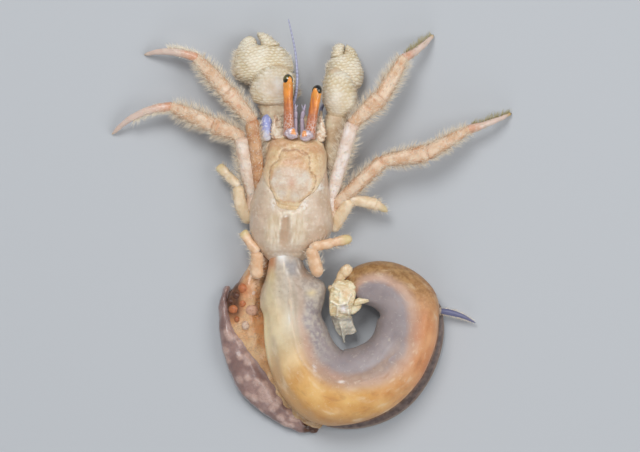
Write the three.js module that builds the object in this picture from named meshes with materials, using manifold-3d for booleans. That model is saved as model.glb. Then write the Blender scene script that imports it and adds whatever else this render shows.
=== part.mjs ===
// A hermit crab out of its snail shell, as a still, life-size model that lies on its belly.
// Millimetres, +Z up. The head points along -Y and the animal's own left is +X.
// The claws, the leg tips, the belly and the soft coiled tail rest on the floor at z = 0 with small flats.
import * as THREE from "three";
import { mergeVertices } from "three/addons/utils/BufferGeometryUtils.js";
import Module from "manifold-3d";

const wasm = await Module();
wasm.setup();

// ---- driving dimensions ----
const lifeScale = 1; // of every length below; 1 is life size
const gap = 0.08; // left between neighbouring pieces
const thinnest = 0.27; // least half thickness of any leg tip or feeler
const standPoint = new THREE.Vector2(0.37, -0.36); // the place that the model's own centre stands over
const shieldLength = 11.3;
const shieldHalfWidth = 4.75;
const shieldHeading = -9; // degrees that the shield is turned from -Y towards +X
const shieldRear = new THREE.Vector2(4.05, -2.4);
const shieldThickness = 0.12; // how far the hard plate stands above the soft side walls
const shieldUnderside = 5.6; // height of the plate's lower edge
const bellySeam = 3.7; // height at which the side walls meet the underside
const coilCentre = new THREE.Vector2(-5.7, 14.7);

const radians = THREE.MathUtils.degToRad;
const up = new THREE.Vector3(0, 0, 1);
const vec = (x, y, z) => new THREE.Vector3(x, y, z);

// ---- colours of the outside ----
const finish = (color, roughness) => new THREE.MeshStandardMaterial({ color, roughness, metalness: 0 });
const finishes = {
  plate: finish(0xe0c8a6, 0.5),
  flank: finish(0xc8b296, 0.45),
  claw: finish(0xd8cdb6, 0.6),
  leg: finish(0xd6ae8e, 0.55),
  dactyl: finish(0xd2b6a4, 0.4),
  smallLeg: finish(0xdcb68a, 0.5),
  stalk: finish(0xe08a4a, 0.35),
  cornea: finish(0x1a1a12, 0.1),
  feeler: finish(0x9a92a8, 0.4),
  pleon: finish(0xd9a878, 0.3),
  pouch: finish(0xa98c80, 0.35),
  eggs: finish(0xa4572a, 0.35),
  tail: finish(0xded0ae, 0.5),
};

// ---- shapes ----

// The value in one column of rows [t, value, ...] at t, as a smooth curve through the rows.
function follow(rows, t, column) {
  const last = rows.length - 1;
  if (t <= rows[0][0]) return rows[0][column];
  if (t >= rows[last][0]) return rows[last][column];
  const next = rows.findIndex((row) => row[0] > t);
  const slope = (k) => {
    const [a, b] = [rows[Math.max(k - 1, 0)], rows[Math.min(k + 1, last)]];
    return (b[column] - a[column]) / (b[0] - a[0]);
  };
  const [before, after] = [rows[next - 1], rows[next]];
  const span = after[0] - before[0];
  const s = (t - before[0]) / span;
  const start = before[column] * (1 + 2 * s) * (1 - s) ** 2 + slope(next - 1) * span * s * (1 - s) ** 2;
  const end = after[column] * s ** 2 * (3 - 2 * s) - slope(next) * span * s ** 2 * (1 - s);
  return start + end;
}

// A cylinder's unit section as a rounded box: power 2 is an ellipse and more is boxier.
const boxy = (v, power) => Math.sign(v) * Math.abs(v) ** (2 / power);

// A closed tube along a curve. sizes has rows [t, half width, half height]; round has the shares of the
// length over which its start and its end are domed, and blunt is how wide the ends stay; from and to
// cut a length out of the whole; extra swells it all round.
function tube(shape, extra = 0) {
  const { path, sizes, sides = 8, rings = 4, power = 2.2, round = [0.1, 0.1], blunt = 0.78, from = 0, to = 1 } = shape;
  const curve = path.length > 2 ? new THREE.CatmullRomCurve3(path) : new THREE.LineCurve3(path[0], path[1]);
  const geometry = new THREE.CylinderGeometry(1, 1, 1, sides, rings);
  const place = geometry.attributes.position;
  for (let i = 0; i < place.count; i++) {
    const level = place.getY(i) + 0.5; // 0 at the tube's start and 1 at its end
    const eased = round[1] ? 0.5 - Math.cos(level * Math.PI) / 2 : level; // more rings near domed ends
    const share = (eased + level) / 2;
    const t = from + (to - from) * share;
    const centre = curve.getPoint(t);
    const along = curve.getTangent(t);
    if (level > 0.999) centre.addScaledVector(along, extra);
    if (level < 0.001) centre.addScaledVector(along, -extra);
    const across = new THREE.Vector3().crossVectors(up, along).normalize();
    const high = new THREE.Vector3().crossVectors(along, across);
    const inside = Math.min(round[0] ? share / round[0] : 1, round[1] ? (1 - share) / round[1] : 1, 1);
    const dome = blunt + (1 - blunt) * Math.sqrt(1 - (1 - inside) ** 2);
    const onRim = Math.hypot(place.getX(i), place.getZ(i)) > 0.5 ? 1 : 0;
    const angle = Math.atan2(place.getZ(i), place.getX(i));
    const wide = (follow(sizes, t, 1) * dome + extra) * onRim * boxy(Math.cos(angle), power);
    const tall = (follow(sizes, t, 2) * dome + extra) * onRim * boxy(-Math.sin(angle), power);
    const point = centre.addScaledVector(across, wide).addScaledVector(high, tall);
    place.setXYZ(i, point.x, point.y, point.z);
  }
  return solidOf(geometry);
}

// An upright slab between two heights whose outline joins [x, y] corners, straight or smoothly.
function slab(corners, low, high, extra = 0, smooth = false) {
  const middle = corners.reduce((sum, [x, y]) => sum.add(new THREE.Vector2(x, y)), new THREE.Vector2());
  middle.divideScalar(corners.length);
  const grown = corners.map(([x, y]) => {
    const out = new THREE.Vector2(x, y).sub(middle);
    return out.setLength(out.length() + extra).add(middle);
  });
  const rim = new THREE.SplineCurve([...grown, grown[0]]);
  const outline = new THREE.Shape(smooth ? rim.getPoints(corners.length * 2).slice(0, -1) : grown);
  const geometry = new THREE.ExtrudeGeometry(outline, { depth: high - low + 2 * extra, bevelEnabled: false });
  return solidOf(geometry.translate(0, 0, low - extra));
}

function blob(centre, sizes, extra = 0, detail = 10) {
  const geometry = new THREE.SphereGeometry(1, detail, Math.round(detail * 0.7));
  geometry.scale(sizes.x + extra, sizes.y + extra, sizes.z + extra);
  return solidOf(geometry.translate(centre.x, centre.y, centre.z));
}

// A geometry as a closed solid that faces outwards.
function solidOf(geometry) {
  geometry.deleteAttribute("normal");
  geometry.deleteAttribute("uv");
  const merged = mergeVertices(geometry, 1e-4);
  const corners = new Uint32Array(merged.index.array);
  const vertProperties = merged.attributes.position.array;
  const solid = new wasm.Manifold(new wasm.Mesh({ numProp: 3, vertProperties, triVerts: corners }));
  if (solid.volume() > 0) return solid;
  for (let i = 0; i < corners.length; i += 3) [corners[i], corners[i + 1]] = [corners[i + 1], corners[i]];
  return new wasm.Manifold(new wasm.Mesh({ numProp: 3, vertProperties, triVerts: corners }));
}

const joined = (solids) => solids.reduce((all, one) => all.add(one));

// The point a length away from a start, at a heading from -Y towards +X and a pitch above the floor.
function step(start, length, heading, pitch = 0) {
  const flat = length * Math.cos(radians(pitch));
  const right = flat * Math.sin(radians(heading));
  const ahead = flat * Math.cos(radians(heading));
  return vec(start.x + right, start.y - ahead, start.z + length * Math.sin(radians(pitch)));
}

// Pieces in the order in which they keep their place: a later piece is cut back from every earlier one.
const pieces = [];
const addPiece = (name, finishName, build) => pieces.push({ name, finishName, build });

// ---- carapace and belly ----

// Rows along the body: [y, middle x, half width, top, bottom].
const bodyRows = [
  [-13.4, 2.65, 3.2, 6.3, 3.2],
  [-12.9, 2.65, 4.1, 7.0, 2.5],
  [-11.2, 2.7, 4.5, 7.9, 1.2],
  [-9.0, 2.85, 4.8, 8.6, 0.2],
  [-6.4, 3.15, 5.35, 8.9, -0.3],
  [-3.4, 3.45, 6.0, 8.6, -0.3],
  [-0.4, 3.35, 6.25, 8.2, 0.1],
  [1.8, 3.6, 5.5, 7.6, 0.8],
  [3.4, 4.0, 4.0, 7.0, 1.6],
  [4.5, 4.2, 3.1, 6.5, 2.2],
];

function bodyForm(extra) {
  const [front, rear] = [bodyRows[0][0], bodyRows[bodyRows.length - 1][0]];
  const geometry = new THREE.CylinderGeometry(1, 1, 1, 18, 11);
  const place = geometry.attributes.position;
  for (let i = 0; i < place.count; i++) {
    const level = 0.5 - place.getY(i);
    const y = THREE.MathUtils.lerp(front, rear, level);
    const [x, half, top, bottom] = [1, 2, 3, 4].map((column) => follow(bodyRows, y, column));
    const onRim = Math.hypot(place.getX(i), place.getZ(i)) > 0.5 ? 1 : 0;
    const angle = Math.atan2(place.getZ(i), place.getX(i));
    const bulge = (half + extra) * onRim * boxy(Math.cos(angle), 2.5);
    const rise = ((top - bottom) / 2 + extra) * onRim * boxy(Math.sin(angle), 2.35);
    const swell = level < 0.01 ? -extra : level > 0.99 ? extra : 0;
    place.setXYZ(i, x + bulge, y + swell, (top + bottom) / 2 + rise);
  }
  return solidOf(geometry);
}

// A place on the shield, from its rear: across to the animal's left and forward.
function onShield(across, forward) {
  const turn = radians(shieldHeading);
  const x = shieldRear.x + across * Math.cos(turn) + forward * Math.sin(turn);
  return [x, shieldRear.y + across * Math.sin(turn) - forward * Math.cos(turn)];
}

// The shield's left rim in shares of its half width and its length, from the rear to beside the rostrum.
const shieldRim = [
  [0.22, 0], [0.5, 0.12], [0.78, 0.3], [0.96, 0.52], [1, 0.8], [0.93, 0.95], [0.72, 0.99], [0.42, 0.945], [0.2, 0.975],
];
const shieldSide = (side) => shieldRim.map(([a, f]) => onShield(side * a * shieldHalfWidth, f * shieldLength));
const shieldOutline = [...shieldSide(1), onShield(0, 1.02 * shieldLength), ...shieldSide(-1).reverse()];
const wholeBody = [[-9, -20], [16, -20], [16, 9], [-9, 9]];

addPiece("shield", "plate", (extra) =>
  bodyForm(shieldThickness + extra).intersect(slab(shieldOutline, shieldUnderside, 12, extra, true)));
addPiece("carapace_rear", "flank", (extra) =>
  bodyForm(extra).intersect(slab(wholeBody, bellySeam, 12, extra)));
addPiece("thorax_underside", "flank", (extra) =>
  bodyForm(extra - 0.25).intersect(slab(wholeBody, -2, bellySeam - gap, extra)));

// ---- soft tail, coiled to the animal's right ----

// Rows round the coil's centre: [angle from +X towards +Y, distance, half width, top, bottom].
const coilRows = [
  [-45.5, 14.6, 2.6, 6.3, 1.9],
  [-38.5, 12.9, 3.0, 6.5, 0.9],
  [-31, 10.6, 4.4, 6.9, -0.1],
  [-22, 9.55, 4.7, 7.0, -0.3],
  [-9, 8.95, 4.2, 7.2, -0.3],
  [8, 8.4, 4.7, 7.5, -0.3],
  [33, 8.7, 5.2, 7.8, -0.35],
  [66, 9.6, 5.9, 8.2, -0.35],
  [99, 9.2, 6.05, 8.2, -0.35],
  [138, 8.5, 5.5, 7.9, -0.35],
  [181, 8.8, 4.9, 7.5, -0.3],
  [216, 8.45, 4.1, 7.0, -0.25],
  [240, 7.3, 3.5, 6.4, -0.2],
  [262, 6.0, 2.7, 5.7, 0.1],
  [279, 5.2, 1.8, 5.1, 1.1],
];
const coilStart = coilRows[0][0];
const coilSweep = coilRows[coilRows.length - 1][0] - coilStart;
const coilSteps = Array.from({ length: 41 }, (_, i) => coilStart + coilSweep * i / 40);
const pleonPath = coilSteps.map((angle) => {
  const [distance, , top, bottom] = [1, 2, 3, 4].map((column) => follow(coilRows, angle, column));
  const x = coilCentre.x + distance * Math.cos(radians(angle));
  return vec(x, coilCentre.y + distance * Math.sin(radians(angle)), (top + bottom) / 2);
});
const pleonSizes = coilRows.map(([angle, , half, top, bottom]) => [
  (angle - coilStart) / coilSweep, half, (top - bottom) / 2,
]);
const pleonCuts = [0, 0.27, 0.5, 0.72, 1]; // shares of the coil where one length ends and the next begins
const pleonCutGap = 0.0007;

pleonCuts.slice(1).forEach((to, i) =>
  addPiece(`pleon_${i + 1}`, "pleon", (extra) =>
    tube({
      path: pleonPath, sizes: pleonSizes, sides: 12, rings: 6, power: 2.3, blunt: 0.4, round: [0, to === 1 ? 0.12 : 0],
      from: pleonCuts[i] + (i ? pleonCutGap : 0), to: to - (to < 1 ? pleonCutGap : 0),
    }, extra)));

// ---- tail end: last segment's plate, telson and the two uropods ----
addPiece("tail_plate", "tail", (extra) => tube({
  path: [vec(-3.6, 7.9, 4.7), vec(-4.2, 10.2, 5.0), vec(-4.5, 12.6, 4.3)],
  sizes: [[0, 1.3, 0.8], [0.35, 1.8, 1.1], [0.8, 1.6, 0.9], [1, 1.2, 0.6]],
  rings: 6, power: 2.6,
}, extra));
addPiece("telson", "tail", (extra) => {
  const notch = slab([[-4.95, 15.65], [-5.5, 17.4], [-4.2, 17.4]], 0, 9, -extra * 0.5);
  const plate = tube({
    path: [vec(-4.5, 12.7, 3.9), vec(-4.8, 14.4, 3.3), vec(-5.1, 16.5, 2.6)],
    sizes: [[0, 1.4, 0.42], [0.5, 1.7, 0.44], [0.85, 1.5, 0.38], [1, 1.15, 0.32]],
    rings: 6, power: 3,
  }, extra);
  return plate.subtract(notch);
});
addPiece("uropod_left", "tail", (extra) => tube({
  path: [vec(-5.6, 11.9, 4.2), vec(-6.9, 11.2, 4.6), vec(-8.4, 10.4, 5.0)],
  sizes: [[0, 0.9, 0.5], [0.35, 1.0, 0.5], [0.75, 0.55, 0.4], [1, 0.32, 0.28]],
}, extra));
addPiece("uropod_right", "tail", (extra) => tube({
  path: [vec(-3.2, 9.0, 3.6), vec(-4.3, 7.2, 4.0), vec(-5.6, 5.9, 4.3)],
  sizes: [[0, 0.6, 0.45], [0.5, 0.85, 0.5], [0.85, 0.85, 0.45], [1, 0.6, 0.35]],
}, extra));

// ---- brood pouch, a thin flap that holds the eggs against the tail's left side ----
const pouchRows = [ // [x, y, half width, half height]
  [10.2, 7.9, 1.4, 1.3],
  [10.7, 9.8, 2.75, 1.75],
  [10.75, 12.6, 3.2, 1.9],
  [10.6, 16.2, 3.3, 1.9],
  [9.75, 20.2, 3.1, 1.8],
  [8.2, 23.7, 2.8, 1.6],
  [5.7, 26.8, 2.1, 1.4],
  [2.6, 29.0, 1.4, 1.1],
  [0.6, 29.8, 0.8, 0.8],
];
addPiece("brood_pouch", "pouch", (extra) => tube({
  path: pouchRows.map(([x, y, , tall]) => vec(x, y, tall - 0.2)),
  sizes: pouchRows.map(([, , half, tall], i) => [i / (pouchRows.length - 1), half, tall]),
  sides: 10, rings: 11, power: 2, blunt: 0.4, round: [0.06, 0.06],
}, extra));

const eggPlaces = [ // [x, y, z, radius]
  [9.4, 8.1, 3.2, 1.1],
  [10.9, 9.4, 3.2, 1.3],
  [11.6, 10.9, 3.1, 1.0],
  [11.4, 12.4, 3.3, 0.9],
];
addPiece("egg_mass", "eggs", (extra) =>
  joined(eggPlaces.map(([x, y, z, radius]) => blob(vec(x, y, z), vec(radius, radius, radius), extra, 6))));
addPiece("pleopod_left", "pouch", (extra) => tube({
  path: [vec(-18.6, 12.4, 2.4), vec(-21.4, 13.3, 1.9), vec(-24.2, 14.2, 1.2)],
  sizes: [[0, 0.35, 0.32], [0.3, 0.75, 0.34], [0.8, 0.5, 0.3], [1, 0.3, thinnest]],
}, extra));

// ---- eyes ----
const eyes = [
  { side: "left", lean: 1, root: vec(3.69, -13.8, 7.0), length: 7.9, heading: 1, pitch: 10 },
  { side: "right", lean: -1, root: vec(0.73, -13.5, 7.0), length: 6.8, heading: -10, pitch: 4 },
];
const stalkHalf = 0.72;
for (const { side, lean, root, length, heading, pitch } of eyes) {
  const tip = step(root, length, heading, pitch);
  addPiece(`cornea_${side}`, "cornea", (extra) => blob(step(tip, 0.1, heading, pitch), vec(0.77, 0.9, 0.75), extra, 10));
  addPiece(`eyestalk_${side}`, "stalk", (extra) => tube({
    path: [root, tip],
    sizes: [[0, 0.95, 0.8], [0.16, stalkHalf, stalkHalf], [0.6, stalkHalf * 0.93, 0.68], [1, 0.74, 0.72]],
    power: 2, round: [0.04, 0.04],
  }, extra));
  const scaleRoot = vec(root.x - lean * 0.35, root.y + 0.5, 7.75);
  addPiece(`ocular_scale_${side}`, "stalk", (extra) => tube({
    path: [scaleRoot, step(scaleRoot, 1.9, lean * -18, 8)],
    sizes: [[0, 0.85, 0.3], [0.5, 0.85, 0.32], [1, 0.32, thinnest]],
    rings: 4,
  }, extra));
}

// ---- feelers ----
const feelers = [
  {
    side: "left", lean: 1, base: vec(5.3, -13.3, 5.2), knee: vec(5.3, -16.5, 5.3),
    lash: [vec(5.1, -16.9, 5.3), vec(3.2, -18.1, 5.8), vec(2.5, -21.4, 6.0), vec(2.75, -26.0, 5.2), vec(3.8, -31.1, 4.4)],
  },
  {
    side: "right", lean: -1, base: vec(-0.6, -12.9, 5.2), knee: vec(-0.7, -16.3, 5.2),
    lash: [vec(-0.9, -16.7, 5.0), vec(-1.3, -18.2, 3.0), vec(-2.6, -19.0, 0.9), vec(-3.5, -17.4, 0.36), vec(-3.0, -11.5, 0.36)],
  },
];
for (const { side, lean, base, knee, lash } of feelers) {
  addPiece(`antenna_base_${side}`, "plate", (extra) =>
    tube({ path: [base, knee], sizes: [[0, 1.0, 0.9], [0.5, 0.8, 0.75], [1, 0.5, 0.5]] }, extra));
  addPiece(`antenna_${side}`, "feeler", (extra) => tube({
    path: lash,
    sizes: [[0, 0.36, 0.36], [0.3, 0.3, 0.3], [1, thinnest, thinnest]],
    sides: 6, rings: 10, round: [0, 0],
  }, extra));
  const root = vec(2.2 + lean * 0.55, -13.9, 5.9);
  const bend = vec(2.25 + lean * 0.5, -16.4, 6.3);
  addPiece(`antennule_${side}`, "feeler", (extra) => tube({
    path: [root, bend, vec(2.0 + lean * 0.75, -18.4, 6.7)],
    sizes: [[0, 0.36, 0.36], [0.6, 0.3, 0.3], [1, thinnest, thinnest]],
  }, extra));
}

// ---- claws: arm, wrist and a hand made of a palm with its fixed finger and a movable finger ----
const claws = [
  {
    side: "left", lean: 1, start: vec(6.41, -9.5, 2.9), arm: [8.5, -2, 8], wrist: [5.6, -5, 0],
    heel: vec(7.16, -21.0, 2.55), hand: [8.0, 9, -3], armHalf: 1.65, wristHalf: 3.6, handHalf: 4.8, handTall: 2.7,
  },
  {
    side: "right", lean: -1, start: vec(-2.99, -9.4, 2.8), arm: [7.8, -2, 8], wrist: [6.1, -6, -2],
    heel: vec(-4.63, -20.1, 2.35), hand: [7.4, 0, -4], armHalf: 1.55, wristHalf: 2.6, handHalf: 2.95, handTall: 2.45,
  },
];
for (const { side, lean, start, arm, wrist, heel, hand, armHalf, wristHalf, handHalf, handTall } of claws) {
  const elbow = step(start, ...arm);
  const tips = step(heel, ...hand);
  const ahead = step(vec(0, 0, 0), hand[0], hand[1]);
  const inward = step(vec(0, 0, 0), handHalf, hand[1] - lean * 90);
  // A place on the hand in shares of its length and of its half width towards the animal's middle.
  const onHand = (along, across) => {
    const p = heel.clone().addScaledVector(ahead, along).addScaledVector(inward, across);
    return [p.x, p.y];
  };
  const wholeHand = (extra) => tube({
    path: [heel, tips],
    sizes: [
      [0, handHalf * 0.88, handTall * 0.86], [0.2, handHalf, handTall], [0.5, handHalf * 0.95, handTall * 0.98],
      [0.72, handHalf * 0.74, handTall * 0.8], [0.9, handHalf * 0.48, handTall * 0.55], [1, handHalf * 0.26, handTall * 0.34],
    ],
    sides: 12, rings: 6, round: [0.2, 0.06], blunt: 0.6,
  }, extra);
  const fingerArea = (extra) => slab([onHand(0.75, 0.02), onHand(0.7, 1.3), onHand(1.2, 1.3), onHand(1.2, 0)], -2, 12, extra);
  const cleft = slab([onHand(0.78, 0.02), onHand(1.2, -0.1), onHand(1.2, 0.1)], -2, 12);
  addPiece(`claw_${side}_wrist`, "claw", (extra) => tube({
    path: [elbow, step(elbow, ...wrist)],
    sizes: [
      [0, wristHalf * 0.62, 1.5], [0.3, wristHalf * 0.84, 2.1], [0.75, wristHalf, 2.45], [0.92, wristHalf * 0.94, 2.3],
      [1, wristHalf * 0.75, 1.9],
    ],
    sides: 12, rings: 5, round: [0.12, 0.12], blunt: 0.6,
  }, extra));
  addPiece(`claw_${side}_finger`, "claw", (extra) => wholeHand(extra).intersect(fingerArea(extra)).subtract(cleft));
  addPiece(`claw_${side}_palm`, "claw", (extra) => wholeHand(extra).subtract(cleft));
  addPiece(`claw_${side}_arm`, "leg", (extra) =>
    tube({ path: [start, elbow], sizes: [[0, armHalf * 0.9, 1.3], [0.5, armHalf, 1.6], [1, armHalf, 1.7]] }, extra));
}

// ---- legs ----

// A leg is a chain of segments: name, [length, heading, pitch], sizes, and its bow sideways and lift at half length.
function addLeg(prefix, finishName, start, segments) {
  let here = start;
  for (const { name, reach, sizes, bow = 0, lift = 0, ...rest } of segments) {
    const from = here;
    const to = step(from, ...reach);
    const middle = from.clone().lerp(to, 0.5).add(step(vec(0, 0, lift), bow, reach[1] + 90));
    const path = bow || lift ? [from, middle, to] : [from, to];
    const finishOf = name === "dactyl" ? "dactyl" : finishName;
    addPiece(`${prefix}_${name}`, finishOf, (extra) => tube({ path, sizes, ...rest }, extra));
    here = to;
  }
}

const merus = { name: "merus", sizes: [[0, 0.85, 1.1], [0.3, 1.0, 1.4], [0.75, 1.08, 1.5], [1, 0.95, 1.15]], lift: 0.5 };
const carpus = { name: "carpus", sizes: [[0, 0.85, 0.95], [0.5, 1.2, 1.3], [0.85, 1.35, 1.4], [1, 1.1, 1.2]] };
const propodus = { name: "propodus", sizes: [[0, 1.05, 1.15], [0.3, 1.25, 1.3], [1, 0.85, 0.9]] };
const dactyl = {
  name: "dactyl", sizes: [[0, 0.64, 0.72], [0.3, 0.62, 0.68], [0.7, 0.46, 0.5], [1, thinnest, thinnest]],
  rings: 6, round: [0.05, 0.03],
};
const walkingLegs = [
  { name: "leg2_left", start: vec(7.94, -4.57, 3.7), reaches: [[11.7, 6, 13], [5.5, 41, -5], [7.4, 42, -19], [8.7, 85, -22]],
    tip: { bow: -0.7, lift: 1.0 } },
  { name: "leg3_left", start: vec(9.14, -4.67, 3.3), reaches: [[9.2, 9, 14], [4.8, 68, -4], [7.0, 66, -14], [10.5, 114, -18]],
    tip: { bow: -1.0, lift: 1.1 } },
  { name: "leg2_right", start: vec(-2.59, -4.57, 3.4), reaches: [[11.7, -16, 14], [5.7, -48, -2], [7.1, -30, -12], [7.2, -51, -37]],
    tip: { bow: -0.3, lift: 0.5 } },
  { name: "leg3_right", start: vec(-2.99, -3.18, 3.2), reaches: [[10.2, -47, 14], [6.7, -80, -4], [7.5, -60, -15], [7.6, -69, -24]],
    tip: { bow: -0.2, lift: 1.0 } },
];
for (const { name, start, reaches, tip } of walkingLegs) {
  const kinds = [merus, carpus, propodus, { ...dactyl, ...tip }];
  addLeg(name, "leg", start, kinds.map((kind, i) => ({ ...kind, reach: reaches[i] })));
}

// The two pairs of small legs that hold the snail shell from inside.
const smallMerus = { name: "merus", sizes: [[0, 0.7, 0.7], [0.5, 0.92, 0.86], [1, 0.75, 0.75]] };
const smallHand = { name: "hand", sizes: [[0, 0.68, 0.68], [0.6, 0.78, 0.72], [1, 0.5, 0.5]] };
const hookedHand = { name: "hand", sizes: [[0, 0.75, 0.7], [0.4, 0.95, 0.8], [0.8, 0.7, 0.6], [1, 0.32, 0.3]] };
const smallLegs = [
  { name: "leg4_left", start: vec(9.54, -1.0, 3.0), reaches: [[5.8, 18, 16], [4.6, 45, -25]], hand: smallHand, bow: 0.5 },
  { name: "leg4_right", start: vec(-2.69, 0.2, 3.2), reaches: [[5.5, -32, 17], [5.9, -103, -18]], hand: hookedHand },
  { name: "leg5_left", start: vec(8.47, 7.33, 4.6), reaches: [[3.9, 0, 15], [3.8, 35, -12]], hand: smallHand },
  { name: "leg5_right", start: vec(-0.65, 7.01, 6.7), reaches: [[4.3, 15, 9], [6.2, -77, -5]], hand: smallHand },
];
for (const { name, start, reaches, hand, bow } of smallLegs)
  addLeg(name, "smallLeg", start, [{ ...smallMerus, bow, reach: reaches[0] }, { ...hand, reach: reaches[1] }]);

// The outer mouthparts, folded forward under the head.
for (const [side, lean] of [["left", 1], ["right", -1]]) {
  const root = vec(2.6 + lean, -11.4, 2.2);
  addPiece(`maxilliped_${side}`, "smallLeg", (extra) => tube({
    path: [root, step(root, 2.4, lean * 3, 6), vec(2.4 + lean * 1.15, -15.4, 3.1), vec(2.2 + lean * 0.7, -16.9, 0.9)],
    sizes: [[0, 0.8, 0.7], [0.5, 0.75, 0.65], [1, 0.38, 0.35]],
    rings: 7,
  }, extra));
}

// ---- cutting, flats and the finished group ----
const floor = solidOf(new THREE.BoxGeometry(200, 200, 20).translate(0, 0, -10));
const reachesInto = (a, b) => {
  const [p, q] = [a.boundingBox(), b.boundingBox()];
  return [0, 1, 2].every((k) => p.min[k] < q.max[k] && q.min[k] < p.max[k]);
};
const largestBody = (solid) => solid.decompose().reduce((a, b) => (b.volume() > a.volume() ? b : a));

const crab = new THREE.Group();
const grown = [];
for (const { name, finishName, build } of pieces) {
  let solid = build(0).subtract(floor);
  for (const other of grown) if (reachesInto(solid, other)) solid = solid.subtract(other);
  grown.push(build(gap));
  const { vertProperties, triVerts } = largestBody(solid).getMesh();
  const geometry = new THREE.BufferGeometry();
  geometry.setAttribute("position", new THREE.BufferAttribute(vertProperties, 3));
  geometry.setIndex(new THREE.BufferAttribute(triVerts, 1));
  const mesh = new THREE.Mesh(geometry, finishes[finishName]);
  mesh.name = name;
  mesh.position.set(-standPoint.x, -standPoint.y, 0);
  crab.add(mesh);
}
crab.scale.setScalar(lifeScale);

export default crab;
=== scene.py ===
# A hermit crab out of its snail shell: shell plates, skins, claws, hairs, finishes, light and camera.
import bpy
import math
import numpy as np
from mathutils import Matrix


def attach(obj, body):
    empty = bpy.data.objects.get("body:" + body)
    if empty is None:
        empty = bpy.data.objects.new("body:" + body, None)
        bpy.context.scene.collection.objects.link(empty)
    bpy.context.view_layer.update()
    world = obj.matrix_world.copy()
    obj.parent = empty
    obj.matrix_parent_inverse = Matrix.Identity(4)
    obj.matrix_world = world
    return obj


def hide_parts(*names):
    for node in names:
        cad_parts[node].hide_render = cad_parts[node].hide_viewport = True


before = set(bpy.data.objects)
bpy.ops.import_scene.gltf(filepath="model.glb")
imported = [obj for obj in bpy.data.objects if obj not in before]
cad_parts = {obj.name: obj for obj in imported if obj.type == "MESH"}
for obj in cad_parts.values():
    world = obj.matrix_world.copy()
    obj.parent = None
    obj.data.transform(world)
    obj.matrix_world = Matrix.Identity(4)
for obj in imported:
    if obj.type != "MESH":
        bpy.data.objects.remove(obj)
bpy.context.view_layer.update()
mm = 0.001
standPoint = np.array([0.37, -0.36, 0.0])  # mm, the place that the model's own centre stands over
upward = np.array([0.0, 0.0, 1.0])

studio = {  # metres, watts and linear colours; the lens and its sensor in mm
    "cameraHeight": 0.533, "cameraAt": (-0.00127, 0.00006), "lens": 200, "sensor": 36, "nearest": 0.01,
    "floorColor": (0.50, 0.52, 0.545), "floorSize": 3.0, "floorHeight": -0.00003,
    "lightsAimAt": (0, 0, 0.003),
    "worldColor": (0.86, 0.89, 0.93), "worldStrength": 0.36,
    "lights": [  # name, place in m, size in m, watts
        ("keyLight", (0.11, -0.26, 0.46), 0.24, 1.36),
        ("fillLight", (-0.32, 0.00, 0.38), 0.34, 0.80),
        ("rimLight", (0.05, 0.40, 0.25), 0.30, 0.30),
        ("glintLight", (-0.05, -0.09, 0.60), 0.03, 0.14),
    ],
}


def lookAt(thing, target):
    direction = np.array(target) - np.array(thing.location)
    flat = math.hypot(direction[0], direction[1])
    thing.rotation_euler = (
        math.atan2(flat, -direction[2]), 0, math.atan2(direction[1], direction[0]) - math.pi / 2)


def setStudio():
    cameraData = bpy.data.cameras.new("cameraLens")
    cameraData.lens = studio["lens"]
    cameraData.sensor_width = studio["sensor"]
    cameraData.clip_start = studio["nearest"]
    camera = bpy.data.objects.new("camera", cameraData)
    camera.location = (*studio["cameraAt"], studio["cameraHeight"])
    camera.rotation_euler = (0, 0, math.pi)  # straight down, the head at the top
    bpy.context.scene.collection.objects.link(camera)
    bpy.context.scene.camera = camera
    for name, place, size, watts in studio["lights"]:
        light = bpy.data.lights.new(name, "AREA")
        light.shape = "DISK"
        light.size = size
        light.energy = watts
        lamp = bpy.data.objects.new(name, light)
        lamp.location = place
        lookAt(lamp, studio["lightsAimAt"])
        bpy.context.scene.collection.objects.link(lamp)
    world = bpy.data.worlds.new("studioWorld")
    world.use_nodes = True
    world.node_tree.nodes["Background"].inputs[0].default_value = (*studio["worldColor"], 1)
    world.node_tree.nodes["Background"].inputs[1].default_value = studio["worldStrength"]
    bpy.context.scene.world = world
    bpy.context.scene.view_settings.view_transform = "Standard"
    bpy.ops.object.select_all(action="DESELECT")
    bpy.ops.mesh.primitive_plane_add(size=studio["floorSize"], location=(0, 0, studio["floorHeight"]))
    floor = bpy.context.object
    floor.name = "studioFloor"
    return floor


class Wire:
    # A shader socket that can be used in plain arithmetic.
    def __init__(self, graph, socket):
        self.graph, self.socket = graph, socket

    def calc(self, operation, *rest):
        return self.graph.node("ShaderNodeMath", {"operation": operation}, (self, *rest))

    def __add__(self, other):
        return self.calc("ADD", other)

    def __sub__(self, other):
        return self.calc("SUBTRACT", other)

    def __rsub__(self, other):
        return self.graph.node("ShaderNodeMath", {"operation": "SUBTRACT"}, (other, self))

    def __mul__(self, other):
        return self.calc("MULTIPLY", other)

    __radd__ = __add__
    __rmul__ = __mul__

    def ramp(self, low, high):
        # 0 below low, 1 above high, smooth between; low may be the larger.
        return self.graph.node(
            "ShaderNodeMapRange", {"interpolation_type": "SMOOTHSTEP"}, (self, low, high, 0.0, 1.0))

    def band(self, middle, width):
        # 1 at the middle, falling smoothly to 0 at a width away.
        return (self - middle).calc("ABSOLUTE").ramp(width, 0.0)


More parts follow.
